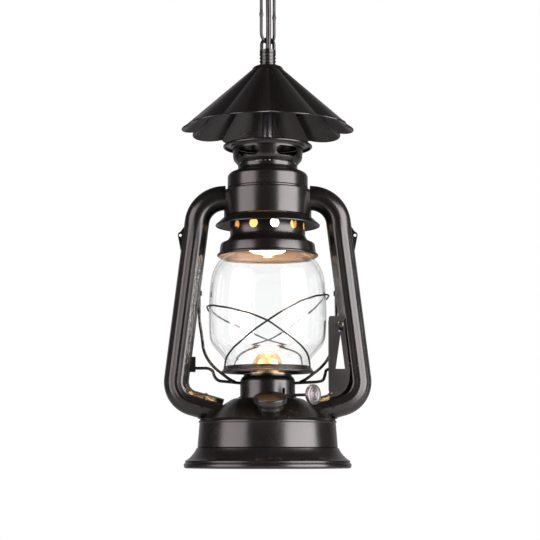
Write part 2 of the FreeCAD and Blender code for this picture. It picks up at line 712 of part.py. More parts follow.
def shade_top():
    """Pressed cap over the shade's apex."""
    return turned_sheet(SHEET, (SHADE_TOP_R + 0.5, SHADE_TOP_H + 0.7), ((12.1, 349.5), (10.4, 349.8)),
                        (STEM_R + 0.1, 349.8))


def stem_collar():
    """Ribbed collar that screws down on the shade."""
    steps = [(STEM_R, STEM_COLLAR_FOOT_H), (STEM_COLLAR_R, STEM_COLLAR_FOOT_H)]
    rib = (STEM_COLLAR_TOP_H - STEM_COLLAR_FOOT_H) / 4
    for k in range(4):
        low = STEM_COLLAR_FOOT_H + rib * k
        steps += [(STEM_COLLAR_R, low + 0.6 * rib), (STEM_COLLAR_R - 0.7, low + 0.8 * rib),
                  (STEM_COLLAR_R - 0.7, low + rib)]
    steps += [(STEM_R, STEM_COLLAR_TOP_H)]
    return turned(*steps)


def eye_loop(foot, bar):
    """Upright eye: a round foot with a bore, two rods and an arch whose bar is at a height."""
    centre = bar - LOOP_RADIUS
    base = disc(7.1, foot, foot + 2.6, 5.0)
    arch = Part.makeTorus(LOOP_RADIUS, LOOP_ROD_R, Vector(0, 0, centre), Vector(0, -1, 0))
    arch = arch.common(block((-10, 10), (-5, 5), (centre, bar + 5)))
    rods = [disc(LOOP_ROD_R, foot + 1.0, centre, x=side) for side in (-LOOP_RADIUS, LOOP_RADIUS)]
    clear = Part.makeCylinder(5.0, 3.6, Vector(0, 0, foot - 0.5))
    return base.fuse([arch] + [r.cut(clear) for r in rods]).removeSplitter()


def chain_link(low):
    """Upright oval link, its lowest point at a height, face to the front."""
    radius = LINK_WIDTH / 2 - LINK_ROD_R
    centres = (low + LINK_ROD_R + radius, low + LINK_LENGTH - LINK_ROD_R - radius)
    pieces = [disc(LINK_ROD_R, centres[0], centres[1], x=side) for side in (-radius, radius)]
    spans = ((low - 5, centres[0]), (centres[1], low + LINK_LENGTH + 5))
    for centre, span in zip(centres, spans):
        ring = Part.makeTorus(radius, LINK_ROD_R, Vector(0, 0, centre), Vector(0, -1, 0))
        pieces.append(ring.common(block((-20, 20), (-5, 5), span)))
    return fused(pieces)


def cord():
    """Mains cord from the lantern's stem, past the chain, into the ceiling fitting."""
    radii = []
    tube, path = rod(CORD_ROUTE, CORD_R, radii=radii)
    print("cord: length %.1f mm, volume / (section x length) %.4f" % (
        path.Length, tube.Volume / (pi * CORD_R ** 2 * path.Length)))
    print("cord radii:", ", ".join("%.1f" % r for r in radii))
    return tube


# ---- ceiling fitting ----
def canopy_loop():
    """Eye under the canopy, turned a quarter from the lantern's own."""
    eye = eye_loop(0.0, CANOPY_COLLAR_FOOT_H - CANOPY_LOOP_BAR_H)
    eye.rotate(ORIGIN, Vector(1, 0, 0), 180)
    eye.translate(Vector(0, 0, CANOPY_COLLAR_FOOT_H))
    return turned_about(eye, 90)


def canopy_collar():
    """Ribbed collar that holds the canopy up on its threaded tube."""
    return turned((5.2, CANOPY_COLLAR_FOOT_H), (6.9, CANOPY_COLLAR_FOOT_H), (7.6, 478.4), (7.6, 480.6),
                  (7.0, 481.2), (7.0, 482.2), (7.6, 482.8), (7.6, 485.4), (9.4, 486.2),
                  (9.4, CANOPY_FOOT_H - 0.1), (5.2, CANOPY_FOOT_H - 0.1))


def ceiling_canopy():
    """Spun dish against the ceiling."""
    return turned_sheet(
        SHEET, (6.0, CANOPY_FOOT_H), (16.0, CANOPY_FOOT_H), ((42.0, 492.6), (56.0, 504.4)),
        ((58.6, 508.2), (CANOPY_R, 511.6)), (CANOPY_R, DROP),
    )


def mounting_strap():
    """Steel bar with two screw slots, which carries the threaded tube."""
    half = STRAP_LENGTH / 2
    bar = block((-STRAP_WIDTH / 2, STRAP_WIDTH / 2), (-half, half), (DROP - STRAP_THICK, DROP))
    for side in (-1, 1):
        bar = bar.cut(disc(STRAP_HOLE_R, DROP - 4, DROP + 2, y=side * STRAP_HOLES / 2))
    return bar.cut(disc(5.2, DROP - 4, DROP + 2))


def canopy_nipple():
    """Threaded tube from the strap down through the canopy."""
    return disc(NIPPLE_R, CANOPY_FOOT_H - 0.1, DROP - 0.2, 4.2)


def canopy_nut():
    """Six-sided nut under the strap."""
    hexagon = [Vector(8.4 * cos(radians(60 * k)), 8.4 * sin(radians(60 * k)), DROP - 6.2) for k in range(7)]
    nut = Part.Face(Part.makePolygon(hexagon)).extrude(Vector(0, 0, 4.5))
    return nut.cut(Part.makeCylinder(NIPPLE_R, 20, Vector(0, 0, DROP - 12)))


def wire_connectors():
    """Two screw-on connectors for the conductors."""
    nuts = []
    for x, y in CONNECTOR_PLACES:
        nut = turned((0.0, 493.0), (3.4, 493.0), (5.2, 506.0), (3.6, 506.0), (3.0, 500.0), (0.0, 500.0))
        nut.translate(Vector(x, y, 0))
        nuts.append(nut)
    return Part.makeCompound(nuts)


def canopy_leads():
    """Conductors from the threaded tube over to the connectors."""
    leads = []
    for (x, y), side in zip(CONNECTOR_PLACES, (-1.4, 1.4)):
        rising = ((0.6, side, 489.0), (0.0, side, 501.0), (-1.0, side * 0.9, 511.0))
        level = ((x, y, 500.6), (x, y, 507.6), (x + 7.0, y * 0.8, 509.0), (x + 14.0, y * 0.6, 509.2))
        leads += [rod(points, 1.1)[0] for points in (rising, level)]
    return Part.makeCompound(leads)


def build():
    """Make every piece and write it."""
    right_bar = tube_solid(TUBE_R)
    both_bars = right_bar.fuse(mirrored(right_bar))
    fill = dome_fill()
    outside_dome = turned((0.0, 0.0), (90.0, 0.0), (90.0, WALL_TOP_H), (0.0, WALL_TOP_H))
    right_tube = air_tube(fill.fuse(outside_dome))
    right_ear = bail_ear()
    right_ring = tube_ferrule(fill.fuse(outside_dome))

    write("tank_base", tank_base())
    write("tank_bottom", tank_bottom())
    write("tank_shell", tank_shell())
    write("tank_dome", tank_dome(both_bars, filler_bore(), on_shaft(SHAFT_R + GAP, 5.0, KNOB_REACH)))
    write("right_air_tube", right_tube)
    write("left_air_tube", mirrored(right_tube))
    write("tube_ferrules", Part.makeCompound([right_ring, mirrored(right_ring)]))
    write("bail_ears", Part.makeCompound([right_ear, mirrored(right_ear)]))
    write("burner_collar", burner_collar())
    write("burner_cone", burner_cone())
    write("wick_tube", wick_tube())
    write("wick", wick())
    write("wick_shaft", wick_shaft())
    write("wick_wheels", wick_wheels())
    write("wick_knob", wick_knob())
    write("filler_neck", filler_neck(fill))
    write("filler_gasket", filler_gasket())
    write("filler_cap", filler_cap())
    write("globe", globe())
    write("globe_plate", globe_plate())
    write("guard_wires", guard_wires())
    write("side_guard_wires", side_guard_wires())
    write("lift_wire", lift_wire())
    write("lift_handle", lift_handle())
    write("handle_rivet", handle_rivet())
    write("rivet_bracket", rivet_bracket())
    write("wire_guides", wire_guides())
    write("globe_hood", globe_hood())
    write("perforated_band", perforated_band())
    write("drip_flange", drip_flange())
    write("lower_drum", lower_drum(both_bars))
    write("upper_drum", upper_drum())
    write("crown_body", crown_body())
    write("crown_cap", crown_cap())
    write("crown_nut", crown_nut())
    write("lamp_holder_shell", lamp_holder_shell())
    write("lamp_holder_core", lamp_holder_core())
    write("holder_screw_shell", holder_screw_shell())
    write("holder_contact", holder_contact())
    write("bulb_cap", bulb_cap())
    write("bulb_glass", bulb_glass())
    write("stem_tube", stem_tube())
    write("stem_leads", stem_leads())
    write("shade", shade())
    write("shade_top", shade_top())
    write("shade_nut", shade_nut())
    write("shade_washer", shade_washer())
    write("stem_collar", stem_collar())
    write("hang_loop", eye_loop(STEM_COLLAR_TOP_H, LOOP_BAR_H))
    lowest = LOOP_BAR_H - LOOP_ROD_R - LINK_GAP - 2 * LINK_ROD_R
    write("lower_link", turned_about(chain_link(lowest), LINK_TURN))
    second = lowest + LINK_LENGTH - 4 * LINK_ROD_R - 0.1
    write("upper_link", turned_about(chain_link(second), -LINK_TURN))
    write("cord", cord())
    write("canopy_loop", canopy_loop())
    write("canopy_collar", canopy_collar())
    write("ceiling_canopy", ceiling_canopy())
    write("mounting_strap", mounting_strap())
    write("canopy_nipple", canopy_nipple())
    write("canopy_nut", canopy_nut())
    write("wire_connectors", wire_connectors())
    write("canopy_leads", canopy_leads())


build()
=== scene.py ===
"""Looks of an electric barn lantern that hangs from a short chain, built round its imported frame.

Lengths are in millimetres and heights are counted from the underside of the base, unless a name says otherwise.
"""

from __future__ import annotations

import logging
import math
from contextlib import contextmanager
from dataclasses import dataclass, field
from enum import Enum
from typing import Callable, Iterator, Sequence

import bmesh
import bpy
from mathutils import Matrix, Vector


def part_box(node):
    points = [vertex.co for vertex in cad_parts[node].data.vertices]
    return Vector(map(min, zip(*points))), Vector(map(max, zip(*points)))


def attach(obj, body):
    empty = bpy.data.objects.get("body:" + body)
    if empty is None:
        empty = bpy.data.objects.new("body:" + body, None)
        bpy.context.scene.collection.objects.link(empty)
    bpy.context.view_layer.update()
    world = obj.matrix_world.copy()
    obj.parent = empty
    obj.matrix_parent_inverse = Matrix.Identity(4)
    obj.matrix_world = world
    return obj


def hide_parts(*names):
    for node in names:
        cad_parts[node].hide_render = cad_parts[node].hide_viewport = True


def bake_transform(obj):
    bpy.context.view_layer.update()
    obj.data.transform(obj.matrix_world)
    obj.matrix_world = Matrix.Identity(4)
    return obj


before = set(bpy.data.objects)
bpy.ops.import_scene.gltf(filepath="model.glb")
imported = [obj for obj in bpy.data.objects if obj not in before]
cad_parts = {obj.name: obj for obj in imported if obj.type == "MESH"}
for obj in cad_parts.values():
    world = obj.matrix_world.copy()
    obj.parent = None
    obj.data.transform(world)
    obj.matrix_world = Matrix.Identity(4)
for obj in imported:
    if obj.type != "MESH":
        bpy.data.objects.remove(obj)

LOG = logging.getLogger("lantern")
MM = 0.001
CEILING_H = 513.0
SMALL_STEPS = 96
SHEET = 0.8

Point2 = tuple[float, float]
Point3 = tuple[float, float, float]


class Body(str, Enum):
    """The moving bodies that pieces ride on."""

    CANOPY = "canopy"
    CHAIN = "chain"
    LANTERN = "lantern"
    GLOBE = "globe_carriage"
    KNOB = "wick_drive"
    CAP = "filler_cap"


class Slot(str, Enum):
    """The record's material slots that new pieces take."""

    ENAMEL = "black_enamel"
    GLASS = "clear_glass"
    BULB = "lit_bulb"
    BULB_CAP = "bulb_cap_metal"
    CORD = "cord_jacket"


def metres(r: float, h: float) -> Point2:
    """A radius and a height of the lantern as metres in the row frame."""
    return r * MM, (h - CEILING_H) * MM


def place(x: float, y: float, h: float) -> Point3:
    """A point of the lantern, given in millimetres, as metres in the row frame."""
    return x * MM, y * MM, (h - CEILING_H) * MM


# ---- shader groups and finishes ----
class Nodes:
    """Short ways to add and join shader nodes in one tree."""

    def __init__(self, tree: bpy.types.NodeTree) -> None:
        """Keeps the tree.

        Args:
            tree: the node tree to fill.
        """
        self.tree = tree

    def add(self, kind: str, **values: object) -> bpy.types.Node:
        """Adds a node and sets its properties and input values.

        Args:
            kind: the node's type, without the ShaderNode prefix, or a full type name.
            values: properties by name, or input defaults by name with spaces as underscores.

        Returns:
            The new node.
        """
        full = kind if kind.startswith("Node") else "ShaderNode" + kind
        node = self.tree.nodes.new(full)
        for name, value in values.items():
            label = name.replace("_", " ")
            if label in node.inputs:
                node.inputs[label].default_value = value
            else:
                setattr(node, name, value)
        return node

    def join(self, source: bpy.types.NodeSocket, target: bpy.types.NodeSocket) -> None:
        """Links an output to an input."""
        self.tree.links.new(source, target)

    def ramp(self, source: bpy.types.NodeSocket,
             stops: Sequence[tuple[float, Sequence[float]]]) -> bpy.types.NodeSocket:
        """Adds a colour ramp.

        Args:
            source: the value that drives it.
            stops: positions and their colours.

        Returns:
            The ramp's colour output.
        """
        node = self.add("ValToRGB")
        elements = node.color_ramp.elements
        while len(elements) < len(stops):
            elements.new(0.5)
        for element, (position, colour) in zip(elements, stops):
            element.position = position
            element.color = (*colour[:3], 1.0)
        self.join(source, node.inputs["Fac"])
        return node.outputs["Color"]


class SurfaceGroup:
    """A shader group with object coordinates inside, colours and values outside."""

    name = "surface"
    inputs: Sequence[tuple[str, str, object]] = ()
    outputs: Sequence[tuple[str, str]] = ()

    def __init__(self) -> None:
        """Builds the group with its named sockets."""
        self.tree = bpy.data.node_groups.new(self.name, "ShaderNodeTree")
        for label, kind, default in self.inputs:
            socket = self.tree.interface.new_socket(label, in_out="INPUT", socket_type=kind)
            socket.default_value = default
        for label, kind in self.outputs:
            self.tree.interface.new_socket(label, in_out="OUTPUT", socket_type=kind)
        self.nodes = Nodes(self.tree)
        self.source = self.nodes.add("NodeGroupInput")
        self.sink = self.nodes.add("NodeGroupOutput")
        self.fill()

    def fill(self) -> None:
        """Adds the group's own nodes."""

    def noise(self, scale: bpy.types.NodeSocket | float, detail: float, roughness: float = 0.5,
              stretch: Point3 = (1.0, 1.0, 1.0)) -> bpy.types.NodeSocket:
        """Adds a noise pattern on object coordinates.

        Args:
            scale: its scale, as a number or a socket.
            detail: how many layers it has.
            roughness: how strong its fine layers are.
            stretch: scale of the coordinates along each axis.

        Returns:
            The noise value.
        """
        coordinates = self.nodes.add("TexCoord")
        mapping = self.nodes.add("Mapping", Scale=stretch)
        noise = self.nodes.add("TexNoise", Detail=detail, Roughness=roughness)
        self.nodes.join(coordinates.outputs["Object"], mapping.inputs["Vector"])
        self.nodes.join(mapping.outputs["Vector"], noise.inputs["Vector"])
        if isinstance(scale, float):
            noise.inputs["Scale"].default_value = scale
        else:
            self.nodes.join(scale, noise.inputs["Scale"])
        return noise.outputs["Fac"]

    def mixed(self, factor: bpy.types.NodeSocket, low: bpy.types.NodeSocket,
              high: bpy.types.NodeSocket) -> bpy.types.NodeSocket:
        """Mixes two colours by a factor, and returns the mix."""
        node = self.nodes.add("Mix", data_type="RGBA")
        self.nodes.join(factor, node.inputs[0])
        self.nodes.join(low, node.inputs[6])
        self.nodes.join(high, node.inputs[7])
        return node.outputs[2]


class RubbedSurface(SurfaceGroup):
    """Tone that wanders a little, faint dust on what faces up, and a fine uneven skin."""

    name = "rubbed_surface"
    inputs = (
        ("Tone", "NodeSocketColor", (0.02, 0.018, 0.017, 1.0)),
        ("Worn Tone", "NodeSocketColor", (0.05, 0.043, 0.04, 1.0)),
        ("Skin Scale", "NodeSocketFloat", 900.0),
        ("Low Roughness", "NodeSocketFloat", 0.2),
        ("High Roughness", "NodeSocketFloat", 0.32),
    )
    outputs = (("Colour", "NodeSocketColor"), ("Roughness", "NodeSocketFloat"), ("Height", "NodeSocketFloat"))

    def fill(self) -> None:
        """Joins slow blotches, fine grain and dust."""
        nodes = self.nodes
        blotch = self.noise(38.0, 5.0, 0.6)
        scuff = self.noise(210.0, 8.0, 0.72, (1.0, 1.0, 0.35))
        skin = self.noise(self.source.outputs["Skin Scale"], 2.0)
        geometry = nodes.add("NewGeometry")
        split = nodes.add("SeparateXYZ")
        nodes.join(geometry.outputs["Normal"], split.inputs["Vector"])
        upward = nodes.add("MapRange", From_Min=0.25, From_Max=1.0, To_Min=0.0, To_Max=0.3)
        nodes.join(split.outputs["Z"], upward.inputs["Value"])
        worn = nodes.add("MapRange", From_Min=0.56, From_Max=0.78, To_Min=0.0, To_Max=0.55)
        nodes.join(scuff, worn.inputs["Value"])
        dusty = nodes.add("Math", operation="MULTIPLY")
        nodes.join(upward.outputs["Result"], dusty.inputs[0])
        nodes.join(blotch, dusty.inputs[1])
        mask = nodes.add("Math", operation="ADD", use_clamp=True)
        nodes.join(worn.outputs["Result"], mask.inputs[0])
        nodes.join(dusty.outputs["Value"], mask.inputs[1])
        colour = self.mixed(mask.outputs["Value"], self.source.outputs["Tone"], self.source.outputs["Worn Tone"])
        nodes.join(colour, self.sink.inputs["Colour"])
        rough = nodes.add("MapRange", From_Min=0.3, From_Max=0.7)
        nodes.join(blotch, rough.inputs["Value"])
        nodes.join(self.source.outputs["Low Roughness"], rough.inputs["To Min"])
        nodes.join(self.source.outputs["High Roughness"], rough.inputs["To Max"])
        nodes.join(rough.outputs["Result"], self.sink.inputs["Roughness"])
        nodes.join(skin, self.sink.inputs["Height"])


class FinishKit:
    """Makes each finish's material once, from the shared groups."""

    def __init__(self) -> None:
        """Builds the shared groups."""
        self.rubbed = RubbedSurface()
        self.made: dict[str, bpy.types.Material] = {}

    def material(self, finish: "Finish") -> bpy.types.Material:
        """The material of a finish, made on first use."""
        if finish.name not in self.made:
            self.made[finish.name] = finish.build(self)
        return self.made[finish.name]

    def surface(self, nodes: Nodes, shader: bpy.types.Node, finish: "Finish") -> bpy.types.NodeSocket:
        """Joins the shared rubbed surface to a material's colour and roughness.

        Args:
            nodes: the material's nodes.
            shader: its shader.
            finish: whose tones and roughness it takes.

        Returns:
            The height of its skin.
        """
        node = nodes.add("Group", node_tree=self.rubbed.tree)
        for label, value in (("Tone", (*finish.tone, 1.0)), ("Worn Tone", (*finish.worn, 1.0)),
                             ("Skin Scale", finish.skin_scale), ("Low Roughness", finish.roughness[0]),
                             ("High Roughness", finish.roughness[1])):
            node.inputs[label].default_value = value
        nodes.join(node.outputs["Colour"], shader.inputs["Base Color"])
        nodes.join(node.outputs["Roughness"], shader.inputs["Roughness"])
        return node.outputs["Height"]


def blank_material(name: str) -> tuple[bpy.types.Material, Nodes, bpy.types.Node]:
    """A material with a Principled shader only.

    Args:
        name: the material's name.

    Returns:
        The material, its nodes and the shader node.
    """
    material = bpy.data.materials.new(name)
    material.use_nodes = True
    nodes = Nodes(material.node_tree)
    return material, nodes, material.node_tree.nodes["Principled BSDF"]


@dataclass(frozen=True)
class Finish:
    """A plain coated, moulded or metal finish with a wandering tone and a fine skin.

    Its slot is nothing where it is no new piece's main finish: on linings, the floor and CAD nodes that stay.
    """

    name: str
    tone: Point3
    worn: Point3
    roughness: Point2
    metallic: float = 0.0
    skin_scale: float = 900.0
    skin_depth: float = 0.0001
    slot: Slot | None = None

    def build(self, kit: FinishKit) -> bpy.types.Material:
        """Makes the material.

        Args:
            kit: the shared groups.

        Returns:
            The material.
        """
        material, nodes, shader = blank_material(self.name)
        bump = nodes.add("Bump", Strength=0.35, Distance=self.skin_depth)
        nodes.join(kit.surface(nodes, shader, self), bump.inputs["Height"])
        nodes.join(bump.outputs["Normal"], shader.inputs["Normal"])
        shader.inputs["Metallic"].default_value = self.metallic
        return material


@dataclass(frozen=True)
class GlobeGlass(Finish):
    """Clear glass with a trace of colour and slow waves."""

    ior: float = 1.47
    wave_scale: float = 26.0

    def build(self, kit: FinishKit) -> bpy.types.Material:
        """Makes the glass material.

        Args:
            kit: the shared groups.

        Returns:
            The material.
        """
        material, nodes, shader = blank_material(self.name)
        coordinates = nodes.add("TexCoord")
        waves = nodes.add("TexNoise", Scale=self.wave_scale, Detail=1.0)
        bump = nodes.add("Bump", Strength=0.25, Distance=self.skin_depth)
        nodes.join(coordinates.outputs["Object"], waves.inputs["Vector"])
        nodes.join(waves.outputs["Fac"], bump.inputs["Height"])
        nodes.join(bump.outputs["Normal"], shader.inputs["Normal"])
        path = nodes.add("LightPath")
        clear = nodes.add("Math", operation="SUBTRACT")
        clear.inputs[0].default_value = 1.0
        nodes.join(path.outputs["Is Shadow Ray"], clear.inputs[1])
        nodes.join(clear.outputs["Value"], shader.inputs["Alpha"])
        shader.inputs["Base Color"].default_value = (*self.tone, 1.0)
        shader.inputs["Roughness"].default_value = self.roughness[0]
        shader.inputs["IOR"].default_value = self.ior
        shader.inputs["Transmission Weight"].default_value = 1.0
        return material


@dataclass(frozen=True)
class LitGlass(Finish):
    """Frosted glass of a lit bulb, brightest at its tip and dim amber above, with one bright spot."""

    strength: float = 30.0
    fade: Point2 = (186.0, 214.0)
    hot_spot: Point3 = (4.6, -22.0, 208.2)
    spot_reach: Point2 = (0.0035, 0.006)
    spot_tone: Point3 = (0.2, 0.19, 0.17)

    def build(self, kit: FinishKit) -> bpy.types.Material:
        """Makes the glowing material.

        Args:
            kit: the shared groups.

        Returns:
            The material.
        """
        material, nodes, shader = blank_material(self.name)
        kit.surface(nodes, shader, self)
        coordinates = nodes.add("TexCoord")
        split = nodes.add("SeparateXYZ")
        low, high = (metres(0, h)[1] for h in self.fade)
        level = nodes.add("MapRange", From_Min=low, From_Max=high)
        nodes.join(coordinates.outputs["Object"], split.inputs["Vector"])
        nodes.join(split.outputs["Z"], level.inputs["Value"])
        glow = nodes.ramp(level.outputs["Result"], (
            (0.0, (1.0, 0.6, 0.22)), (0.4, (0.5, 0.31, 0.12)), (0.6, (0.2, 0.12, 0.04)),
            (0.66, (0.036, 0.023, 0.0068)), (1.0, (0.03, 0.018, 0.005))))
        reach = nodes.add("VectorMath", operation="DISTANCE")
        reach.inputs[1].default_value = place(*self.hot_spot)
        nodes.join(coordinates.outputs["Object"], reach.inputs[0])
        near = nodes.add("MapRange", From_Min=self.spot_reach[0], From_Max=self.spot_reach[1], To_Min=1.0, To_Max=0.0)
        nodes.join(reach.outputs["Value"], near.inputs["Value"])
        hot = nodes.add("Mix", data_type="RGBA")
        hot.inputs[7].default_value = (*self.spot_tone, 1.0)
        nodes.join(near.outputs["Result"], hot.inputs[0])
        nodes.join(glow, hot.inputs[6])
        nodes.join(hot.outputs[2], shader.inputs["Emission Color"])
        shader.inputs["Emission Strength"].default_value = self.strength
        return material


@dataclass(frozen=True)
class WovenCotton(Finish):
    """Flat woven wick."""

    weave_scale: float = 900.0

    def build(self, kit: FinishKit) -> bpy.types.Material:
        """Makes the woven material.

        Args:
            kit: the shared groups.

        Returns:
            The material.
        """
        material, nodes, shader = blank_material(self.name)
        coordinates = nodes.add("TexCoord")
        weave = nodes.add("TexWave", Scale=self.weave_scale, Distortion=0.6, bands_direction="Z")
        colour = nodes.ramp(weave.outputs["Fac"], ((0.0, self.worn), (1.0, self.tone)))
        bump = nodes.add("Bump", Strength=0.6, Distance=self.skin_depth)
        nodes.join(coordinates.outputs["Object"], weave.inputs["Vector"])
        nodes.join(colour, shader.inputs["Base Color"])
        nodes.join(weave.outputs["Fac"], bump.inputs["Height"])
        nodes.join(bump.outputs["Normal"], shader.inputs["Normal"])
        shader.inputs["Roughness"].default_value = self.roughness[1]
        return material


ENAMEL = Finish("black_enamel", (0.0034, 0.0028, 0.0027), (0.0125, 0.0102, 0.0096), (0.21, 0.29),
                skin_scale=620.0, skin_depth=0.00006, slot=Slot.ENAMEL)
ROUGH_ENAMEL = Finish("black_enamel_sanded", (0.007, 0.006, 0.0058), (0.022, 0.019, 0.018), (0.34, 0.5),
                      skin_scale=520.0, skin_depth=0.0004, slot=Slot.ENAMEL)
BRIGHT_ENAMEL = Finish("black_enamel_polished", (0.02, 0.018, 0.0175), (0.06, 0.055, 0.052), (0.12, 0.22),
                       metallic=0.35, skin_depth=0.00003, slot=Slot.ENAMEL)
KNOB_METAL = Finish("knob_metal", (0.14, 0.134, 0.138), (0.05, 0.047, 0.047), (0.2, 0.34),
                    metallic=0.85, skin_scale=1100.0, slot=Slot.ENAMEL)
STEM_STEEL = Finish("stem_steel", (0.3, 0.3, 0.315), (0.16, 0.155, 0.16), (0.14, 0.24),
                    metallic=1.0, skin_scale=1300.0, slot=Slot.ENAMEL)
CONE_METAL = Finish("cone_metal", (0.6, 0.42, 0.22), (0.36, 0.24, 0.12), (0.2, 0.34),
                    metallic=0.9, slot=Slot.ENAMEL)
# Tin lining of the perforated band, painted bright amber as a glow of the bulb's warm light.
TIN_LINING_PAINTED_GLOW = Finish("tin_lining_painted_glow", (0.88, 0.6, 0.26), (0.6, 0.38, 0.14), (0.42, 0.6),
                   metallic=0.25, skin_scale=700.0)
HOOD_INSIDE = Finish("hood_inside", (0.15, 0.115, 0.1), (0.1, 0.07, 0.055), (0.4, 0.6),
                     metallic=0.2, skin_scale=700.0)
GLASS = GlobeGlass("clear_glass", (0.985, 0.99, 0.99), (1.0, 1.0, 1.0), (0.0, 0.0),
                   skin_depth=0.0006, slot=Slot.GLASS)
BULB = LitGlass("lit_bulb", (0.8, 0.72, 0.6), (0.9, 0.84, 0.74), (0.4, 0.55), slot=Slot.BULB)
BRASS = Finish("lamp_brass", (0.62, 0.43, 0.16), (0.44, 0.29, 0.1), (0.2, 0.4), metallic=1.0)
CAP_METAL = Finish("bulb_cap_metal", (0.72, 0.72, 0.72), (0.5, 0.49, 0.48), (0.22, 0.38),
                   metallic=1.0, slot=Slot.BULB_CAP)
ZINC = Finish("zinc_steel", (0.56, 0.57, 0.58), (0.36, 0.36, 0.35), (0.28, 0.5), metallic=1.0, skin_scale=1400.0)
INSULATOR = Finish("holder_insulator", (0.03, 0.028, 0.026), (0.06, 0.05, 0.045), (0.3, 0.42))
CONNECTOR = Finish("connector_plastic", (0.72, 0.34, 0.05), (0.6, 0.27, 0.05), (0.42, 0.55))
SEAL = Finish("cork_rubber", (0.09, 0.055, 0.034), (0.16, 0.1, 0.06), (0.75, 0.9),
              skin_scale=1600.0, skin_depth=0.0005)
COTTON = WovenCotton("cotton", (0.62, 0.56, 0.46), (0.36, 0.31, 0.24), (0.9, 0.95), skin_depth=0.0004)
JACKET = Finish("cord_jacket", (0.007, 0.0066, 0.0067), (0.018, 0.017, 0.017), (0.27, 0.36),
                skin_scale=1500.0, slot=Slot.CORD)
LEAD = Finish("lead_insulation", (0.6, 0.59, 0.56), (0.42, 0.41, 0.39), (0.4, 0.5))
FLOOR = Finish("pale_floor", (0.66, 0.66, 0.655), (0.6, 0.6, 0.595), (0.6, 0.8), skin_scale=60.0)


# ---- mesh work ----
@dataclass
class Outline:
    """Profile of a turned piece as radius and height, run from its start by lines and arcs."""

    start: Point2
    points: list[Point2] = field(default_factory=list)

    def __post_init__(self) -> None:
        """Puts the start in the list."""
        self.points = [self.start]

    def line(self, r: float, h: float) -> "Outline":
        """Adds a straight line to a point, and returns the outline."""
        self.points.append((r, h))
        return self

    def arc(self, middle: Point2, end: Point2, count: int = 6) -> "Outline":
        """Adds an arc through a middle point.

        Args:
            middle: a point that the arc passes.
            end: where it ends.
            count: how many chords stand for it.

        Returns:
            The outline.
        """
        (ax, ay), (bx, by), (cx, cy) = self.points[-1], middle, end
        d = 2 * (ax * (by - cy) + bx * (cy - ay) + cx * (ay - by))
        sa, sb, sc = ax * ax + ay * ay, bx * bx + by * by, cx * cx + cy * cy
        ux = (sa * (by - cy) + sb * (cy - ay) + sc * (ay - by)) / d
        uy = (sa * (cx - bx) + sb * (ax - cx) + sc * (bx - ax)) / d
        first, passing, last = (math.atan2(y - uy, x - ux) for x, y in ((ax, ay), (bx, by), (cx, cy)))
        turn = (last - first) % (2 * math.pi)
        if (passing - first) % (2 * math.pi) > turn:
            turn -= 2 * math.pi
        radius = math.hypot(ax - ux, ay - uy)
        for k in range(1, count + 1):
            angle = first + turn * k / count
            self.points.append((ux + radius * math.cos(angle), uy + radius * math.sin(angle)))
        return self


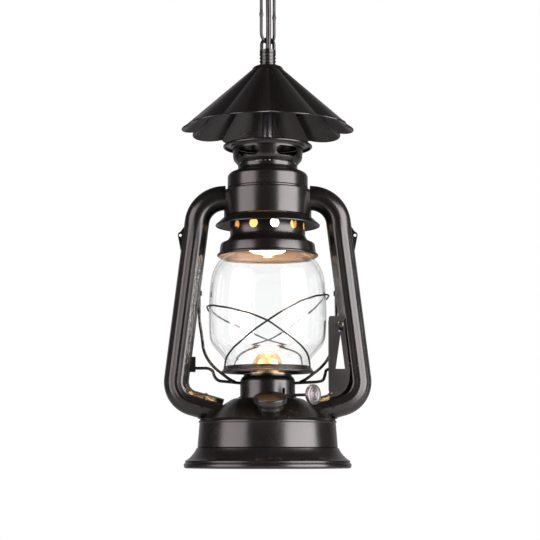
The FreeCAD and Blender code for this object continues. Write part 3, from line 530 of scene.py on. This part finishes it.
class Bench:
    """Modelling operators, used as a person would use them at the bench."""

    @staticmethod
    def clear() -> None:
        """Leaves edit mode and deselects everything."""
        if bpy.context.object and bpy.context.object.mode != "OBJECT":
            bpy.ops.object.mode_set(mode="OBJECT")
        bpy.ops.object.select_all(action="DESELECT")

    @staticmethod
    def only(piece: bpy.types.Object) -> None:
        """Selects one object alone and makes it active."""
        Bench.clear()
        piece.select_set(True)
        bpy.context.view_layer.objects.active = piece

    @staticmethod
    @contextmanager
    def editing(piece: bpy.types.Object) -> Iterator[None]:
        """Opens one object in edit mode with all of it selected, and leaves edit mode afterwards."""
        Bench.only(piece)
        bpy.ops.object.mode_set(mode="EDIT")
        bpy.ops.mesh.select_all(action="SELECT")
        yield
        bpy.ops.object.mode_set(mode="OBJECT")

    @staticmethod
    def added(name: str, data: bpy.types.ID) -> bpy.types.Object:
        """Puts a new object with this data in the scene, and returns it."""
        piece = bpy.data.objects.new(name, data)
        bpy.context.scene.collection.objects.link(piece)
        return piece

    @staticmethod
    def named(name: str) -> bpy.types.Object:
        """Names the active object and its mesh, and returns it."""
        piece = bpy.context.object
        piece.name = name
        piece.data.name = name
        return piece

    @staticmethod
    def smooth(piece: bpy.types.Object, degrees: float = 32.0) -> None:
        """Smooths the shading of faces that meet at less than an angle."""
        Bench.only(piece)
        bpy.ops.object.shade_smooth_by_angle(angle=math.radians(degrees))

    @staticmethod
    def modify(piece: bpy.types.Object, kind: str, **values: object) -> None:
        """Adds a modifier, sets it and applies it.

        Args:
            piece: the object.
            kind: the modifier's type.
            values: its settings.
        """
        Bench.only(piece)
        modifier = piece.modifiers.new(kind.lower(), kind)
        for name, value in values.items():
            setattr(modifier, name, value)
        bpy.ops.object.modifier_apply(modifier=modifier.name)

    @staticmethod
    def select(piece: bpy.types.Object, mode: str, test: Callable[[Vector, Vector], bool]) -> None:
        """Selects vertices or faces of the object in edit mode by a test of place and normal.

        Args:
            piece: the object, in edit mode.
            mode: VERT or FACE.
            test: takes a place in metres and a normal.
        """
        bpy.ops.mesh.select_mode(type=mode)
        bpy.ops.mesh.select_all(action="DESELECT")
        mesh = bmesh.from_edit_mesh(piece.data)
        for item in mesh.verts if mode == "VERT" else mesh.faces:
            where = item.co if mode == "VERT" else item.calc_center_median()
            if test(where, item.normal):
                item.select_set(True)
        mesh.select_flush_mode()
        bmesh.update_edit_mesh(piece.data)

    @staticmethod
    def turned(name: str, outline: Outline, wall: float = 0.0, steps: int = 160) -> bpy.types.Object:
        """Spins an outline round the vertical axis.

        Args:
            name: the piece's name.
            outline: its profile, which runs upwards on the outer side.
            wall: thickness that is added inwards, or nothing for a closed profile.
            steps: how many faces go round.

        Returns:
            The object.
        """
        points = [metres(r, h) for r, h in outline.points]
        Bench.clear()
        bpy.ops.mesh.primitive_plane_add(size=MM, location=(points[0][0], 0, points[0][1]))
        piece = Bench.named(name)
        bpy.ops.object.transform_apply(location=True, rotation=True, scale=True)
        with Bench.editing(piece):
            bpy.ops.mesh.select_mode(type="VERT")
            bpy.ops.mesh.merge(type="CENTER")
            for before, after in zip(points, points[1:]):
                step = (after[0] - before[0], 0, after[1] - before[1])
                bpy.ops.mesh.extrude_vertices_move(TRANSFORM_OT_translate={"value": step})
            bpy.ops.mesh.select_all(action="SELECT")
            bpy.ops.mesh.spin(steps=steps, angle=2 * math.pi, center=(0, 0, 0), axis=(0, 0, 1))
            bpy.ops.mesh.select_all(action="SELECT")
            bpy.ops.mesh.remove_doubles(threshold=0.01 * MM)
            bpy.ops.mesh.normals_make_consistent(inside=False)
        if wall:
            Bench.outward(piece)
            Bench.modify(piece, "SOLIDIFY", thickness=wall * MM, offset=-1.0, use_even_offset=True)
        Bench.smooth(piece)
        return piece

    @staticmethod
    def outward(piece: bpy.types.Object) -> None:
        """Turns an open turned sheet's faces away from the axis or, on flat parts, upwards."""
        mesh = piece.data
        score = 0.0
        for face in mesh.polygons:
            away = Vector((face.center.x, face.center.y, 0.0)).normalized()
            score += face.area * (face.normal.dot(away) + 0.7 * face.normal.z)
        if score < 0:
            with Bench.editing(piece):
                bpy.ops.mesh.flip_normals()

    @staticmethod
    def swept(name: str, points: Sequence[Point3], radius: float, sides: int = 6,
              closed: bool = False) -> bpy.types.Object:
        """Runs a round bar along points.

        Args:
            name: the piece's name.
            points: its centre line, in millimetres and heights of the lantern.
            radius: the bar's radius.
            sides: a quarter of how many faces go round.
            closed: whether the bar is a ring.

        Returns:
            The object, as a mesh.
        """
        Bench.clear()
        data = bpy.data.curves.new(name, "CURVE")
        data.dimensions = "3D"
        data.bevel_depth = radius * MM
        data.bevel_resolution = sides
        data.use_fill_caps = not closed
        spline = data.splines.new("POLY")
        spline.points.add(len(points) - 1)
        for knot, point in zip(spline.points, points):
            knot.co = (*place(*point), 1.0)
        spline.use_cyclic_u = closed
        Bench.only(Bench.added(name, data))
        bpy.ops.object.convert(target="MESH")
        piece = Bench.named(name)
        Bench.close(piece)
        Bench.smooth(piece, 40.0)
        return piece

    @staticmethod
    def close(piece: bpy.types.Object) -> None:
        """Merges the seams and end caps of a piece and points its faces outwards."""
        with Bench.editing(piece):
            bpy.ops.mesh.remove_doubles(threshold=0.002 * MM)
            bpy.ops.mesh.normals_make_consistent(inside=False)

    @staticmethod
    def skin(node: str, degrees: float = 32.0) -> bpy.types.Object:
        """Copies a CAD node's mesh, merges its loose triangles and smooths it.

        Args:
            node: the node's name.
            degrees: the sharpest fold that is still smoothed.

        Returns:
            The new object.
        """
        piece = Bench.added(node + "_skin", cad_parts[node].data.copy())
        Bench.only(piece)
        if piece.data.has_custom_normals:
            bpy.ops.mesh.customdata_custom_splitnormals_clear()
        Bench.close(piece)
        Bench.smooth(piece, degrees)
        return piece


@dataclass
class Assembly:
    """A sub-assembly whose pieces ride on one body."""

    kit: FinishKit
    body: Body = Body.LANTERN

    def dress(self, piece: bpy.types.Object, finish: Finish, *nodes: str) -> bpy.types.Object:
        """Gives a piece its finish, its body and the nodes it stands for.

        Args:
            piece: the object.
            finish: what covers it.
            nodes: the CAD nodes that it replaces.

        Returns:
            The object.
        """
        piece.data.materials.clear()
        piece.data.materials.append(self.kit.material(finish))
        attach(piece, self.body.value)
        if nodes:
            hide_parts(*nodes)
        LOG.info("%s on %s", piece.name, self.body.value)
        return piece

    def line(self, piece: bpy.types.Object, finish: Finish) -> None:
        """Covers the faces that look towards the vertical axis with a finish of their own."""
        piece.data.materials.append(self.kit.material(finish))

        def inward(where: Vector, normal: Vector) -> bool:
            """Whether a face looks towards the axis."""
            return normal.x * where.x + normal.y * where.y < -0.2 * math.hypot(where.x, where.y)

        with Bench.editing(piece):
            Bench.select(piece, "FACE", inward)
            piece.active_material_index = 1
            bpy.ops.object.material_slot_assign()
            bpy.ops.mesh.select_mode(type="VERT")

    def skins(self, finish: Finish, *nodes: str, degrees: float = 32.0) -> None:
        """Gives CAD nodes a smoothed skin of their own shape."""
        for node in nodes:
            self.dress(Bench.skin(node, degrees), finish, node)

    def keep(self, finish: Finish, *nodes: str) -> None:
        """Leaves CAD nodes as they are and gives them a finish."""
        for node in nodes:
            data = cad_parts[node].data
            data.materials.clear()
            data.materials.append(self.kit.material(finish))
            LOG.info("%s kept", node)


@dataclass
class Tank(Assembly):
    """Oil tank with its flared base, dome and bottom."""

    sheet: float = SHEET
    foot_r: float = 59.9
    top_r: float = 58.3

    def build(self) -> None:
        """Makes the base, the wall and the dome."""
        base = (Outline((66.4, 0.9)).line(68.6, 0.15).arc((71.1, 0.7), (71.5, 2.3)).arc((71.4, 3.6), (70.4, 4.5))
                .arc((70.05, 4.8), (70.35, 5.2), 3).arc((70.4, 6.1), (69.2, 6.9)).arc((64.6, 10.9), (60.7, 17.0), 10)
                .line(59.5, 17.4))
        self.dress(Bench.turned("base", base, self.sheet), ENAMEL, "tank_base")
        wall = (Outline((self.foot_r - 0.6, 17.3)).line(self.foot_r, 17.9).line(self.top_r, 38.0)
                .arc((self.top_r + 0.1, 38.3), (self.top_r + 0.5, 38.6), 3).arc((58.95, 39.5), (58.5, 40.4), 4)
                .line(57.4, 40.6))
        self.dress(Bench.turned("tank_wall", wall, self.sheet), ENAMEL, "tank_shell")
        dome = (Outline((58.2, 40.6)).arc((57.3, 41.9), (55.9, 42.6), 4).line(45.7, 49.1).line(33.6, 56.7)
                .arc((28.6, 59.2), (25.2, 59.7)).line(22.0, 59.8))
        self.dress(Bench.turned("tank_top", dome, self.sheet), ENAMEL, "tank_dome")
        self.skins(ENAMEL, "tank_bottom", "tube_ferrules", "bail_ears", "wire_guides", "rivet_bracket")
        self.skins(BRIGHT_ENAMEL, "handle_rivet", "filler_neck", degrees=25.0)


@dataclass
class SideTubes(Assembly):
    """The two fluted tubes that join the drum to the tank."""

    radius: float = 10.75
    corners: tuple[Point2, ...] = ((36.6, 233.1), (58.8, 233.1), (80.2, 59.8), (40.0, 48.5))
    bends: tuple[float, ...] = (24.0, 19.0)
    bend_count: int = 14
    flutes: int = 12
    flute_steps: tuple[Point2, ...] = ((0.1, 0.24), (0.3, 0.22))
    flute_top_h: float = 208.0

    def route(self) -> list[Point3]:
        """The right tube's centre line: straight runs with round bends."""
        points: list[Point3] = [(self.corners[0][0], 0.0, self.corners[0][1])]
        for k, bend in enumerate(self.bends, start=1):
            before, here, after = (Vector(self.corners[k + i]) for i in (-1, 0, 1))
            into, out = (here - before).normalized(), (after - here).normalized()
            half = into.angle(out) / 2
            start, end = here - into * bend * math.tan(half), here + out * bend * math.tan(half)
            inward = (out - into).normalized()
            centre = here + inward * (bend / math.cos(half))
            first = (start - centre).normalized()
            sign = 1.0 if first.x * (end - centre).y - first.y * (end - centre).x > 0 else -1.0
            for i in range(self.bend_count + 1):
                angle = sign * 2 * half * i / self.bend_count
                c, s = math.cos(angle), math.sin(angle)
                spoke = Vector((first.x * c - first.y * s, first.x * s + first.y * c)) * bend
                points.append((centre.x + spoke.x, 0.0, centre.y + spoke.y))
        points.append((self.corners[-1][0], 0.0, self.corners[-1][1]))
        return self.divided(points)

    @staticmethod
    def divided(points: list[Point3], longest: float = 12.0) -> list[Point3]:
        """Puts more points on long straight runs, and returns the new list."""
        out = [points[0]]
        for before, after in zip(points, points[1:]):
            count = max(1, math.ceil(math.dist(before, after) / longest))
            out += [tuple(b + (a - b) * k / count for b, a in zip(before, after)) for k in range(1, count + 1)]
        return out

    def build(self) -> None:
        """Makes the right tube, flutes it, and mirrors it for the left."""
        right = Bench.swept("right_tube", self.route(), self.radius, sides=22)
        self.flute(right)
        left = Bench.added("left_tube", right.data.copy())
        with Bench.editing(left):
            bpy.ops.transform.mirror(constraint_axis=(True, False, False), center_override=(0, 0, 0))
            bpy.ops.mesh.normals_make_consistent(inside=False)
        self.dress(right, ENAMEL, "right_air_tube")
        self.dress(left, ENAMEL, "left_air_tube")

    def flute(self, piece: bpy.types.Object) -> None:
        """Presses long grooves into the tube below its top bend."""
        top = metres(0, self.flute_top_h)[1]
        step = 2 * math.pi / self.flutes
        route = [Vector(place(*p)) for p in self.route()]

        def beside_groove(where: Vector) -> float:
            """How far a point is from a groove's line, as a part of the grooves' spacing."""
            nearest = min(range(1, len(route) - 1), key=lambda k: (route[k] - where).length_squared)
            along = (route[nearest + 1] - route[nearest - 1]).normalized()
            side = along.cross(Vector((0, 1, 0))).normalized()
            spoke = where - route[nearest]
            angle = math.atan2(spoke.dot(side), spoke.y)
            return abs((angle / step) % 1.0 - 0.5)

        with Bench.editing(piece):
            for reach, depth in self.flute_steps:
                Bench.select(piece, "VERT", lambda where, normal, r=reach: where.z < top and beside_groove(where) < r)
                bpy.ops.transform.shrink_fatten(value=-depth * MM)
        Bench.smooth(piece, 50.0)


@dataclass
class Burner(Assembly):
    """Collar with the parts of the old oil burner."""

    def build(self) -> None:
        """Dresses the burner's fixed parts."""
        self.skins(ENAMEL, "burner_collar")
        self.skins(CONE_METAL, "burner_cone")
        self.keep(ZINC, "wick_tube")


@dataclass
class WickDrive(Assembly):
    """Shaft, wheels and knob that raise the wick."""

    body: Body = Body.KNOB
    azimuth: float = 47.9
    knob_r: float = 8.5

    def knob(self) -> bpy.types.Object:
        """Turns the knob with rings on its face, upright, then lays it in line with the shaft."""
        h, r = CEILING_H, self.knob_r
        outline = (Outline((0.0, h - 1.9)).line(r - 0.6, h - 1.9).arc((r - 0.15, h - 1.6), (r, h - 1.0), 4)
                   .line(r, h + 0.9).arc((r - 0.2, h + 1.6), (r - 0.8, h + 1.9), 4).line(7.1, h + 1.45)
                   .arc((6.4, h + 0.95), (5.7, h + 1.45), 5).arc((4.9, h + 1.9), (4.1, h + 1.4), 5)
                   .arc((3.4, h + 0.95), (2.7, h + 1.4), 5).arc((1.9, h + 1.8), (1.1, h + 1.2), 5).line(0.0, h + 1.1))
        piece = Bench.turned("knob", outline, steps=SMALL_STEPS)
        low, high = (Vector(corner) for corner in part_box("wick_knob"))
        piece.rotation_euler = (math.radians(90), 0, math.radians(self.azimuth))
        piece.location = (low + high) / 2
        Bench.only(piece)
        bpy.ops.object.transform_apply(location=True, rotation=True, scale=True)
        return piece

    def build(self) -> None:
        """Dresses the shaft and its wheels and makes the knob."""
        self.keep(ZINC, "wick_wheels")
        self.skins(ENAMEL, "wick_shaft")
        self.dress(self.knob(), KNOB_METAL, "wick_knob")


@dataclass
class Hood(Assembly):
    """Hood, perforated band, drip flange, drums and crown."""

    sheet: float = SHEET

    def build(self) -> None:
        """Makes the turned pieces and dresses the pierced ones."""
        hood = (Outline((42.4, 181.7)).arc((43.9, 182.7), (42.8, 183.9), 6).line(41.9, 184.6).line(40.9, 191.6)
                .arc((40.3, 192.8), (38.6, 193.8), 4).arc((34.4, 196.4), (32.4, 201.0), 8).line(32.3, 203.4))
        self.line(self.dress(Bench.turned("hood", hood, self.sheet), ENAMEL, "globe_hood"), HOOD_INSIDE)
        # The band's inner faces take the tin lining with its painted amber glow of the bulb's light.
        self.line(self.dress(Bench.skin("perforated_band", 30.0), ENAMEL, "perforated_band"), TIN_LINING_PAINTED_GLOW)
        flange = (Outline((44.6, 208.1)).arc((45.4, 208.6), (44.9, 209.5), 4).line(39.0, 214.9)
                  .arc((38.2, 215.6), (37.0, 216.2), 4).line(32.8, 216.4))
        self.dress(Bench.turned("drip_edge", flange, self.sheet), ENAMEL, "drip_flange")
        lower = (Outline((36.9, 216.3)).arc((37.9, 216.5), (38.0, 217.4), 3).line(38.0, 237.6)
                 .arc((37.8, 238.9), (36.7, 239.5), 5).line(34.4, 239.8))
        self.dress(Bench.turned("wide_drum", lower, self.sheet), ENAMEL, "lower_drum")
        upper = (Outline((34.3, 239.9)).arc((34.4, 240.9), (34.9, 241.6), 3).line(34.9, 250.2)
                 .arc((34.2, 253.0), (31.4, 255.2), 7).arc((28.6, 256.5), (27.0, 257.6), 4)
                 .arc((26.0, 258.6), (25.9, 260.0), 4).line(25.9, 262.0))
        self.dress(Bench.turned("narrow_drum", upper, self.sheet), ENAMEL, "upper_drum")
        self.skins(ENAMEL, "crown_body", degrees=28.0)
        cap = (Outline((37.2, 277.0)).arc((38.9, 278.2), (37.5, 279.6), 7).line(35.6, 279.3).line(31.0, 279.5)
               .arc((20.0, 280.4), (10.0, 281.4), 6).line(5.0, 281.4))
        self.dress(Bench.turned("crown_lid", cap, self.sheet), ENAMEL, "crown_cap")
        self.skins(BRIGHT_ENAMEL, "crown_nut")


@dataclass
class Lamp(Assembly):
    """Bulb and its holder inside the hood."""

    wall: float = 1.0

    def build(self) -> None:
        """Makes the bulb's glass and dresses the holder."""
        glass = (Outline((0.0, 181.7)).line(1.2, 181.75).arc((8.0, 183.3), (14.2, 187.9), 8)
                 .arc((20.3, 195.8), (22.5, 206.0), 10)
                 .arc((20.6, 215.4), (14.6, 223.2), 8).arc((12.0, 225.8), (11.0, 228.4), 4).line(11.0, 236.0))
        self.dress(Bench.turned("bulb", glass, self.wall, SMALL_STEPS), BULB, "bulb_glass")
        self.skins(CAP_METAL, "bulb_cap")
        self.skins(ENAMEL, "lamp_holder_shell")
        self.keep(INSULATOR, "lamp_holder_core")
        self.keep(BRASS, "holder_screw_shell", "holder_contact")
        self.keep(LEAD, "stem_leads")


@dataclass
class PetalShade(Assembly):
    """Ten-petal shade with a hemmed rim, and the stem that carries it."""

    petals: int = 10
    turn: float = 2.2
    top: tuple[float, float, float] = (11.2, 12.2, 348.6)
    rim_crease: Point2 = (67.6, 295.6)
    rim_middle: Point2 = (75.1, 293.2)
    across: int = 10
    along: int = 10
    fullness: float = 2.2
    sheet: float = 0.9
    top_sheet: float = 0.6
    hem: float = 0.75
    hem_at: float = 0.992
    hem_drop: float = 0.35

    def surface(self, azimuth: float, down: float) -> Point3:
        """A point of the shade's outer side.

        Args:
            azimuth: in degrees from the front towards +X.
            down: 0 at the top and 1 at the rim.

        Returns:
            The point in millimetres.
        """
        step = 360 / self.petals
        part = ((azimuth - self.turn) / step) % 1.0
        bulge = 1.0 - abs(2 * part - 1.0) ** self.fullness
        r_top = self.top[0] + (self.top[1] - self.top[0]) * bulge
        r_rim = self.rim_crease[0] + (self.rim_middle[0] - self.rim_crease[0]) * bulge
        h_rim = self.rim_crease[1] + (self.rim_middle[1] - self.rim_crease[1]) * bulge
        r = r_top + (r_rim - r_top) * down
        h = self.top[2] + (h_rim - self.top[2]) * down
        angle = math.radians(azimuth)
        return r * math.sin(angle), -r * math.cos(angle), h

    def petal_sheet(self) -> bpy.types.Object:
        """Lays a grid over all the petals, closes it round and gives it its thickness."""
        Bench.clear()
        columns = self.petals * self.across
        bpy.ops.mesh.primitive_grid_add(x_subdivisions=columns, y_subdivisions=self.along, size=1.0)
        piece = Bench.named("petal_shade")
        with Bench.editing(piece):
            mesh = bmesh.from_edit_mesh(piece.data)
            for vertex in mesh.verts:
                azimuth = self.turn + 360.0 * (vertex.co.x + 0.5)
                vertex.co = Vector(place(*self.surface(azimuth, 0.5 - vertex.co.y)))
            bmesh.update_edit_mesh(piece.data)
            bpy.ops.mesh.remove_doubles(threshold=0.01 * MM)
            bpy.ops.mesh.normals_make_consistent(inside=False)
        Bench.outward(piece)
        Bench.modify(piece, "SOLIDIFY", thickness=self.sheet * MM, offset=-1.0, use_even_offset=True)
        return piece

    def build(self) -> None:
        """Makes the shade with its hem and dresses the stem."""
        shade = self.petal_sheet()
        count = self.petals * self.across
        rim = [self.surface(self.turn + 360 * k / count, self.hem_at) for k in range(count)]
        rim = [(x, y, h - self.hem_drop) for x, y, h in rim]
        hem = Bench.swept("hem", rim, self.hem, sides=3, closed=True)
        Bench.clear()
        hem.select_set(True)
        shade.select_set(True)
        bpy.context.view_layer.objects.active = shade
        bpy.ops.object.join()
        Bench.smooth(shade, 18.0)
        self.dress(shade, ENAMEL, "shade")
        top = (Outline((13.6, 347.5)).arc((12.4, 349.2), (10.0, 349.8), 6).line(4.9, 349.8))
        self.dress(Bench.turned("shade_crown", top, self.top_sheet, SMALL_STEPS), ENAMEL, "shade_top")
        self.skins(STEM_STEEL, "stem_tube")
        self.skins(ENAMEL, "shade_nut", "shade_washer", degrees=25.0)
        self.skins(ENAMEL, "stem_collar", "hang_loop", degrees=25.0)


@dataclass
class GlobeCarriage(Assembly):
    """Globe, its plate, the wires round it and the lift handle."""

    body: Body = Body.GLOBE
    wall: float = 1.6

    def build(self) -> None:
        """Makes the glass and the plate and dresses the wires."""
        glass = (Outline((34.6, 85.4)).line(35.2, 90.0).arc((39.5, 96.0), (44.8, 101.8), 8)
                 .arc((48.6, 107.5), (50.0, 114.0), 10).arc((50.7, 131.0), (49.1, 159.4), 20)
                 .arc((46.6, 169.8), (41.4, 178.4), 10).arc((37.8, 183.6), (33.2, 186.2), 8).line(30.4, 188.0))
        self.dress(Bench.turned("globe_glass", glass, self.wall), GLASS, "globe")
        plate = (Outline((39.4, 81.3)).arc((40.1, 81.7), (39.6, 82.5), 4).line(36.6, 86.4)
                 .arc((36.0, 86.95), (35.5, 86.5), 4).line(34.9, 85.3).line(30.0, 84.6).line(17.5, 84.6))
        self.dress(Bench.turned("saucer", plate, SHEET, 128), ENAMEL, "globe_plate")
        self.skins(ENAMEL, "guard_wires", "side_guard_wires", "lift_wire", degrees=50.0)
        self.skins(ROUGH_ENAMEL, "lift_handle", degrees=25.0)


@dataclass
class Filler(Assembly):
    """Filler cap and its washer."""

    body: Body = Body.CAP

    def build(self) -> None:
        """Dresses the cap."""
        self.skins(ENAMEL, "filler_cap", degrees=20.0)
        self.keep(SEAL, "filler_gasket")


@dataclass
class Chain(Assembly):
    """Two links and the cord that runs beside them."""

    body: Body = Body.CHAIN
    rod: float = 1.35
    width: float = 18.7
    length: float = 51.5
    lowest: float = 370.0
    turn: float = 45.0
    bump: float = 0.55
    weld: Point2 = (1.6, 2.4)
    gap: float = 0.1
    bend_count: int = 16
    side_count: int = 12
    cord_r: float = 2.3
    cord_route: tuple[Point3, ...] = (
        (0.0, 0.0, 352.0), (0.0, -0.6, 361.0), (0.7, -5.1, 371.3), (0.9, -5.5, 392.0), (0.3, -5.6, 420.0),
        (-2.6, -4.6, 441.0), (-4.9, -1.6, 459.0), (-4.3, -0.6, 468.0), (-0.6, -0.1, 477.5), (0.0, 0.0, 487.0),
    )

    def link(self, name: str, lowest: float, turn: float) -> bpy.types.Object:
        """Makes one oval link with a weld swelling on each long side.

        Args:
            name: the piece's name.
            lowest: height of its lowest point.
            turn: degrees that it is turned about the vertical.

        Returns:
            The object.
        """
        radius = self.width / 2 - self.rod
        low, high = lowest + self.rod + radius, lowest + self.length - self.rod - radius
        flat: list[Point2] = []
        for first, here, there, side in ((0.0, high, low, -radius), (math.pi, low, high, radius)):
            for k in range(self.bend_count + 1):
                angle = first + math.pi * k / self.bend_count
                flat.append((radius * math.cos(angle), here + radius * math.sin(angle)))
            flat += [(side, here + (there - here) * k / self.side_count) for k in range(1, self.side_count)]
        c, s = math.cos(math.radians(turn)), math.sin(math.radians(turn))
        piece = Bench.swept(name, [(x * c, x * s, h) for x, h in flat], self.rod, sides=4, closed=True)
        middle = place(0, 0, (low + high) / 2)[2]
        with Bench.editing(piece):
            Bench.select(piece, "VERT", lambda where, normal: abs(where.z - middle) < self.weld[0] * MM)
            bpy.ops.transform.shrink_fatten(value=self.bump * MM, use_proportional_edit=True,
                                            proportional_edit_falloff="SMOOTH", proportional_size=self.weld[1] * MM)
        return piece

    def cord(self) -> bpy.types.Object:
        """Lays the cord from the stem, past the chain, into the ceiling fitting."""
        data = bpy.data.curves.new("mains_cord", "CURVE")
        data.dimensions = "3D"
        spline = data.splines.new("NURBS")
        spline.points.add(len(self.cord_route) - 1)
        for knot, point in zip(spline.points, self.cord_route):
            knot.co = (*place(*point), 1.0)
        spline.order_u = 3
        spline.use_endpoint_u = True
        spline.resolution_u = 16
        line = Bench.added("cord_line", data)
        bpy.context.view_layer.update()
        traced = bpy.data.meshes.new_from_object(line.evaluated_get(bpy.context.evaluated_depsgraph_get()))
        data.bevel_depth = self.cord_r * MM
        data.bevel_resolution = 6
        data.use_fill_caps = True
        Bench.only(line)
        bpy.ops.object.convert(target="MESH")
        piece = Bench.named("mains_cord")
        Bench.close(piece)
        Bench.smooth(piece, 50.0)
        piece.data.materials.append(self.kit.material(JACKET))
        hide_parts("cord")
        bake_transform(piece)
        return piece

    def build(self) -> None:
        """Makes both links and the cord."""
        second = self.lowest + self.length - 4 * self.rod - self.gap
        self.dress(self.link("low_link", self.lowest, self.turn), ENAMEL, "lower_link")
        self.dress(self.link("high_link", second, -self.turn), ENAMEL, "upper_link")
        self.cord()


@dataclass
class CeilingFitting(Assembly):
    """Canopy dish and what is in it."""

    body: Body = Body.CANOPY

    def build(self) -> None:
        """Makes the dish and dresses the rest."""
        dish = (Outline((6.0, 488.0)).line(15.4, 488.0).arc((17.0, 488.1), (18.4, 488.5), 3)
                .arc((42.6, 494.2), (56.0, 504.4), 14).arc((58.9, 507.6), (59.6, 511.0), 6).line(60.0, 511.4)
                .line(60.0, 513.0))
        self.dress(Bench.turned("canopy_dish", dish, SHEET), ENAMEL, "ceiling_canopy")
        self.skins(ENAMEL, "canopy_loop", "canopy_collar", degrees=25.0)
        self.keep(ZINC, "mounting_strap", "canopy_nipple", "canopy_nut")
        self.keep(CONNECTOR, "wire_connectors")
        self.keep(LEAD, "canopy_leads")


@dataclass
class Studio:
    """Camera, soft lights, white surround and a pale floor."""

    kit: FinishKit
    distance: float = 1.35
    camera_h: float = 11.6
    sideways: float = 0.002
    tilt: float = 6.7
    lens: float = 104.73
    floor_h: float = -260.0
    floor_r: float = 1.6

    def camera(self) -> None:
        """Places the camera at the front, near the base's height, looking a little up."""
        data = bpy.data.cameras.new("camera")
        data.lens = self.lens
        data.sensor_width = 36.0
        data.clip_end = 50.0
        camera = Bench.added("camera", data)
        camera.location = (self.sideways, -self.distance, place(0, 0, self.camera_h)[2])
        camera.rotation_euler = (math.radians(90 + self.tilt), 0, 0)
        bpy.context.scene.camera = camera

    def softbox(self, name: str, azimuth: float, height: float, size: Point2, watts: float, tint: Point3,
                distance: float = 1.0) -> None:
        """Hangs a soft light beside the lantern.

        Args:
            name: the light's name.
            azimuth: degrees from the front towards +X.
            height: its middle, in metres in the row frame.
            size: width and height in metres.
            watts: its power.
            tint: its colour.
            distance: from the lantern's axis, in metres.
        """
        data = bpy.data.lights.new(name, "AREA")
        data.shape = "RECTANGLE"
        data.size, data.size_y = size
        data.energy = watts
        data.color = tint
        light = Bench.added(name, data)
        angle = math.radians(azimuth)
        light.location = (distance * math.sin(angle), -distance * math.cos(angle), height)
        aim = Vector((0, 0, height)) - light.location
        light.rotation_euler = aim.to_track_quat("-Z", "Y").to_euler()

    def surround(self) -> None:
        """Makes a world that is white to look at and dim to be lit by, brighter behind the lantern."""
        world = bpy.data.worlds.new("studio")
        world.use_nodes = True
        bpy.context.scene.world = world
        nodes = Nodes(world.node_tree)
        background = world.node_tree.nodes["Background"]
        coordinates = nodes.add("TexCoord")
        split = nodes.add("SeparateXYZ")
        nodes.join(coordinates.outputs["Generated"], split.inputs["Vector"])
        behind = nodes.ramp(split.outputs["Y"], (
            (0.1, (0.07, 0.066, 0.067)), (0.65, (0.1, 0.096, 0.097)), (0.98, (0.5, 0.48, 0.485))))
        path = nodes.add("LightPath")
        seen = nodes.add("Math", operation="MAXIMUM")
        nodes.join(path.outputs["Is Camera Ray"], seen.inputs[0])
        nodes.join(path.outputs["Is Transmission Ray"], seen.inputs[1])
        mix = nodes.add("Mix", data_type="RGBA")
        mix.inputs[7].default_value = (1.0, 1.0, 1.0, 1.0)
        nodes.join(seen.outputs["Value"], mix.inputs[0])
        nodes.join(behind, mix.inputs[6])
        nodes.join(mix.outputs[2], background.inputs["Color"])

    def floor(self) -> None:
        """Lays a pale floor well below the lantern."""
        Bench.clear()
        bpy.ops.mesh.primitive_circle_add(vertices=64, radius=self.floor_r, fill_type="NGON", location=(0, 0, 0))
        floor = Bench.named("floor")
        with Bench.editing(floor):
            bpy.ops.transform.translate(value=(0, 0, place(0, 0, self.floor_h)[2]))
        floor.data.materials.append(self.kit.material(FLOOR))

    def build(self) -> None:
        """Sets everything up."""
        self.camera()
        self.softbox("left_softbox", -57.0, -0.30, (0.85, 1.3), 18.0, (1.0, 0.88, 0.9))
        self.softbox("right_softbox", 56.0, -0.30, (1.05, 1.3), 46.0, (1.0, 0.93, 0.945))
        self.surround()
        self.floor()
        bpy.context.scene.view_settings.view_transform = "Standard"


def main() -> None:
    """Builds every assembly in order."""
    logging.basicConfig(level=logging.INFO, format="%(message)s")
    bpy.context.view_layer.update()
    kit = FinishKit()
    Studio(kit).build()
    for part in (Chain(kit), Tank(kit), SideTubes(kit), Burner(kit), WickDrive(kit), Hood(kit), Lamp(kit),
                 PetalShade(kit), GlobeCarriage(kit), Filler(kit), CeilingFitting(kit)):
        part.build()
        LOG.info("built %s", type(part).__name__)
    Assembly(kit).keep(COTTON, "wick")
    Bench.clear()


if __name__ == "__main__":
    main()
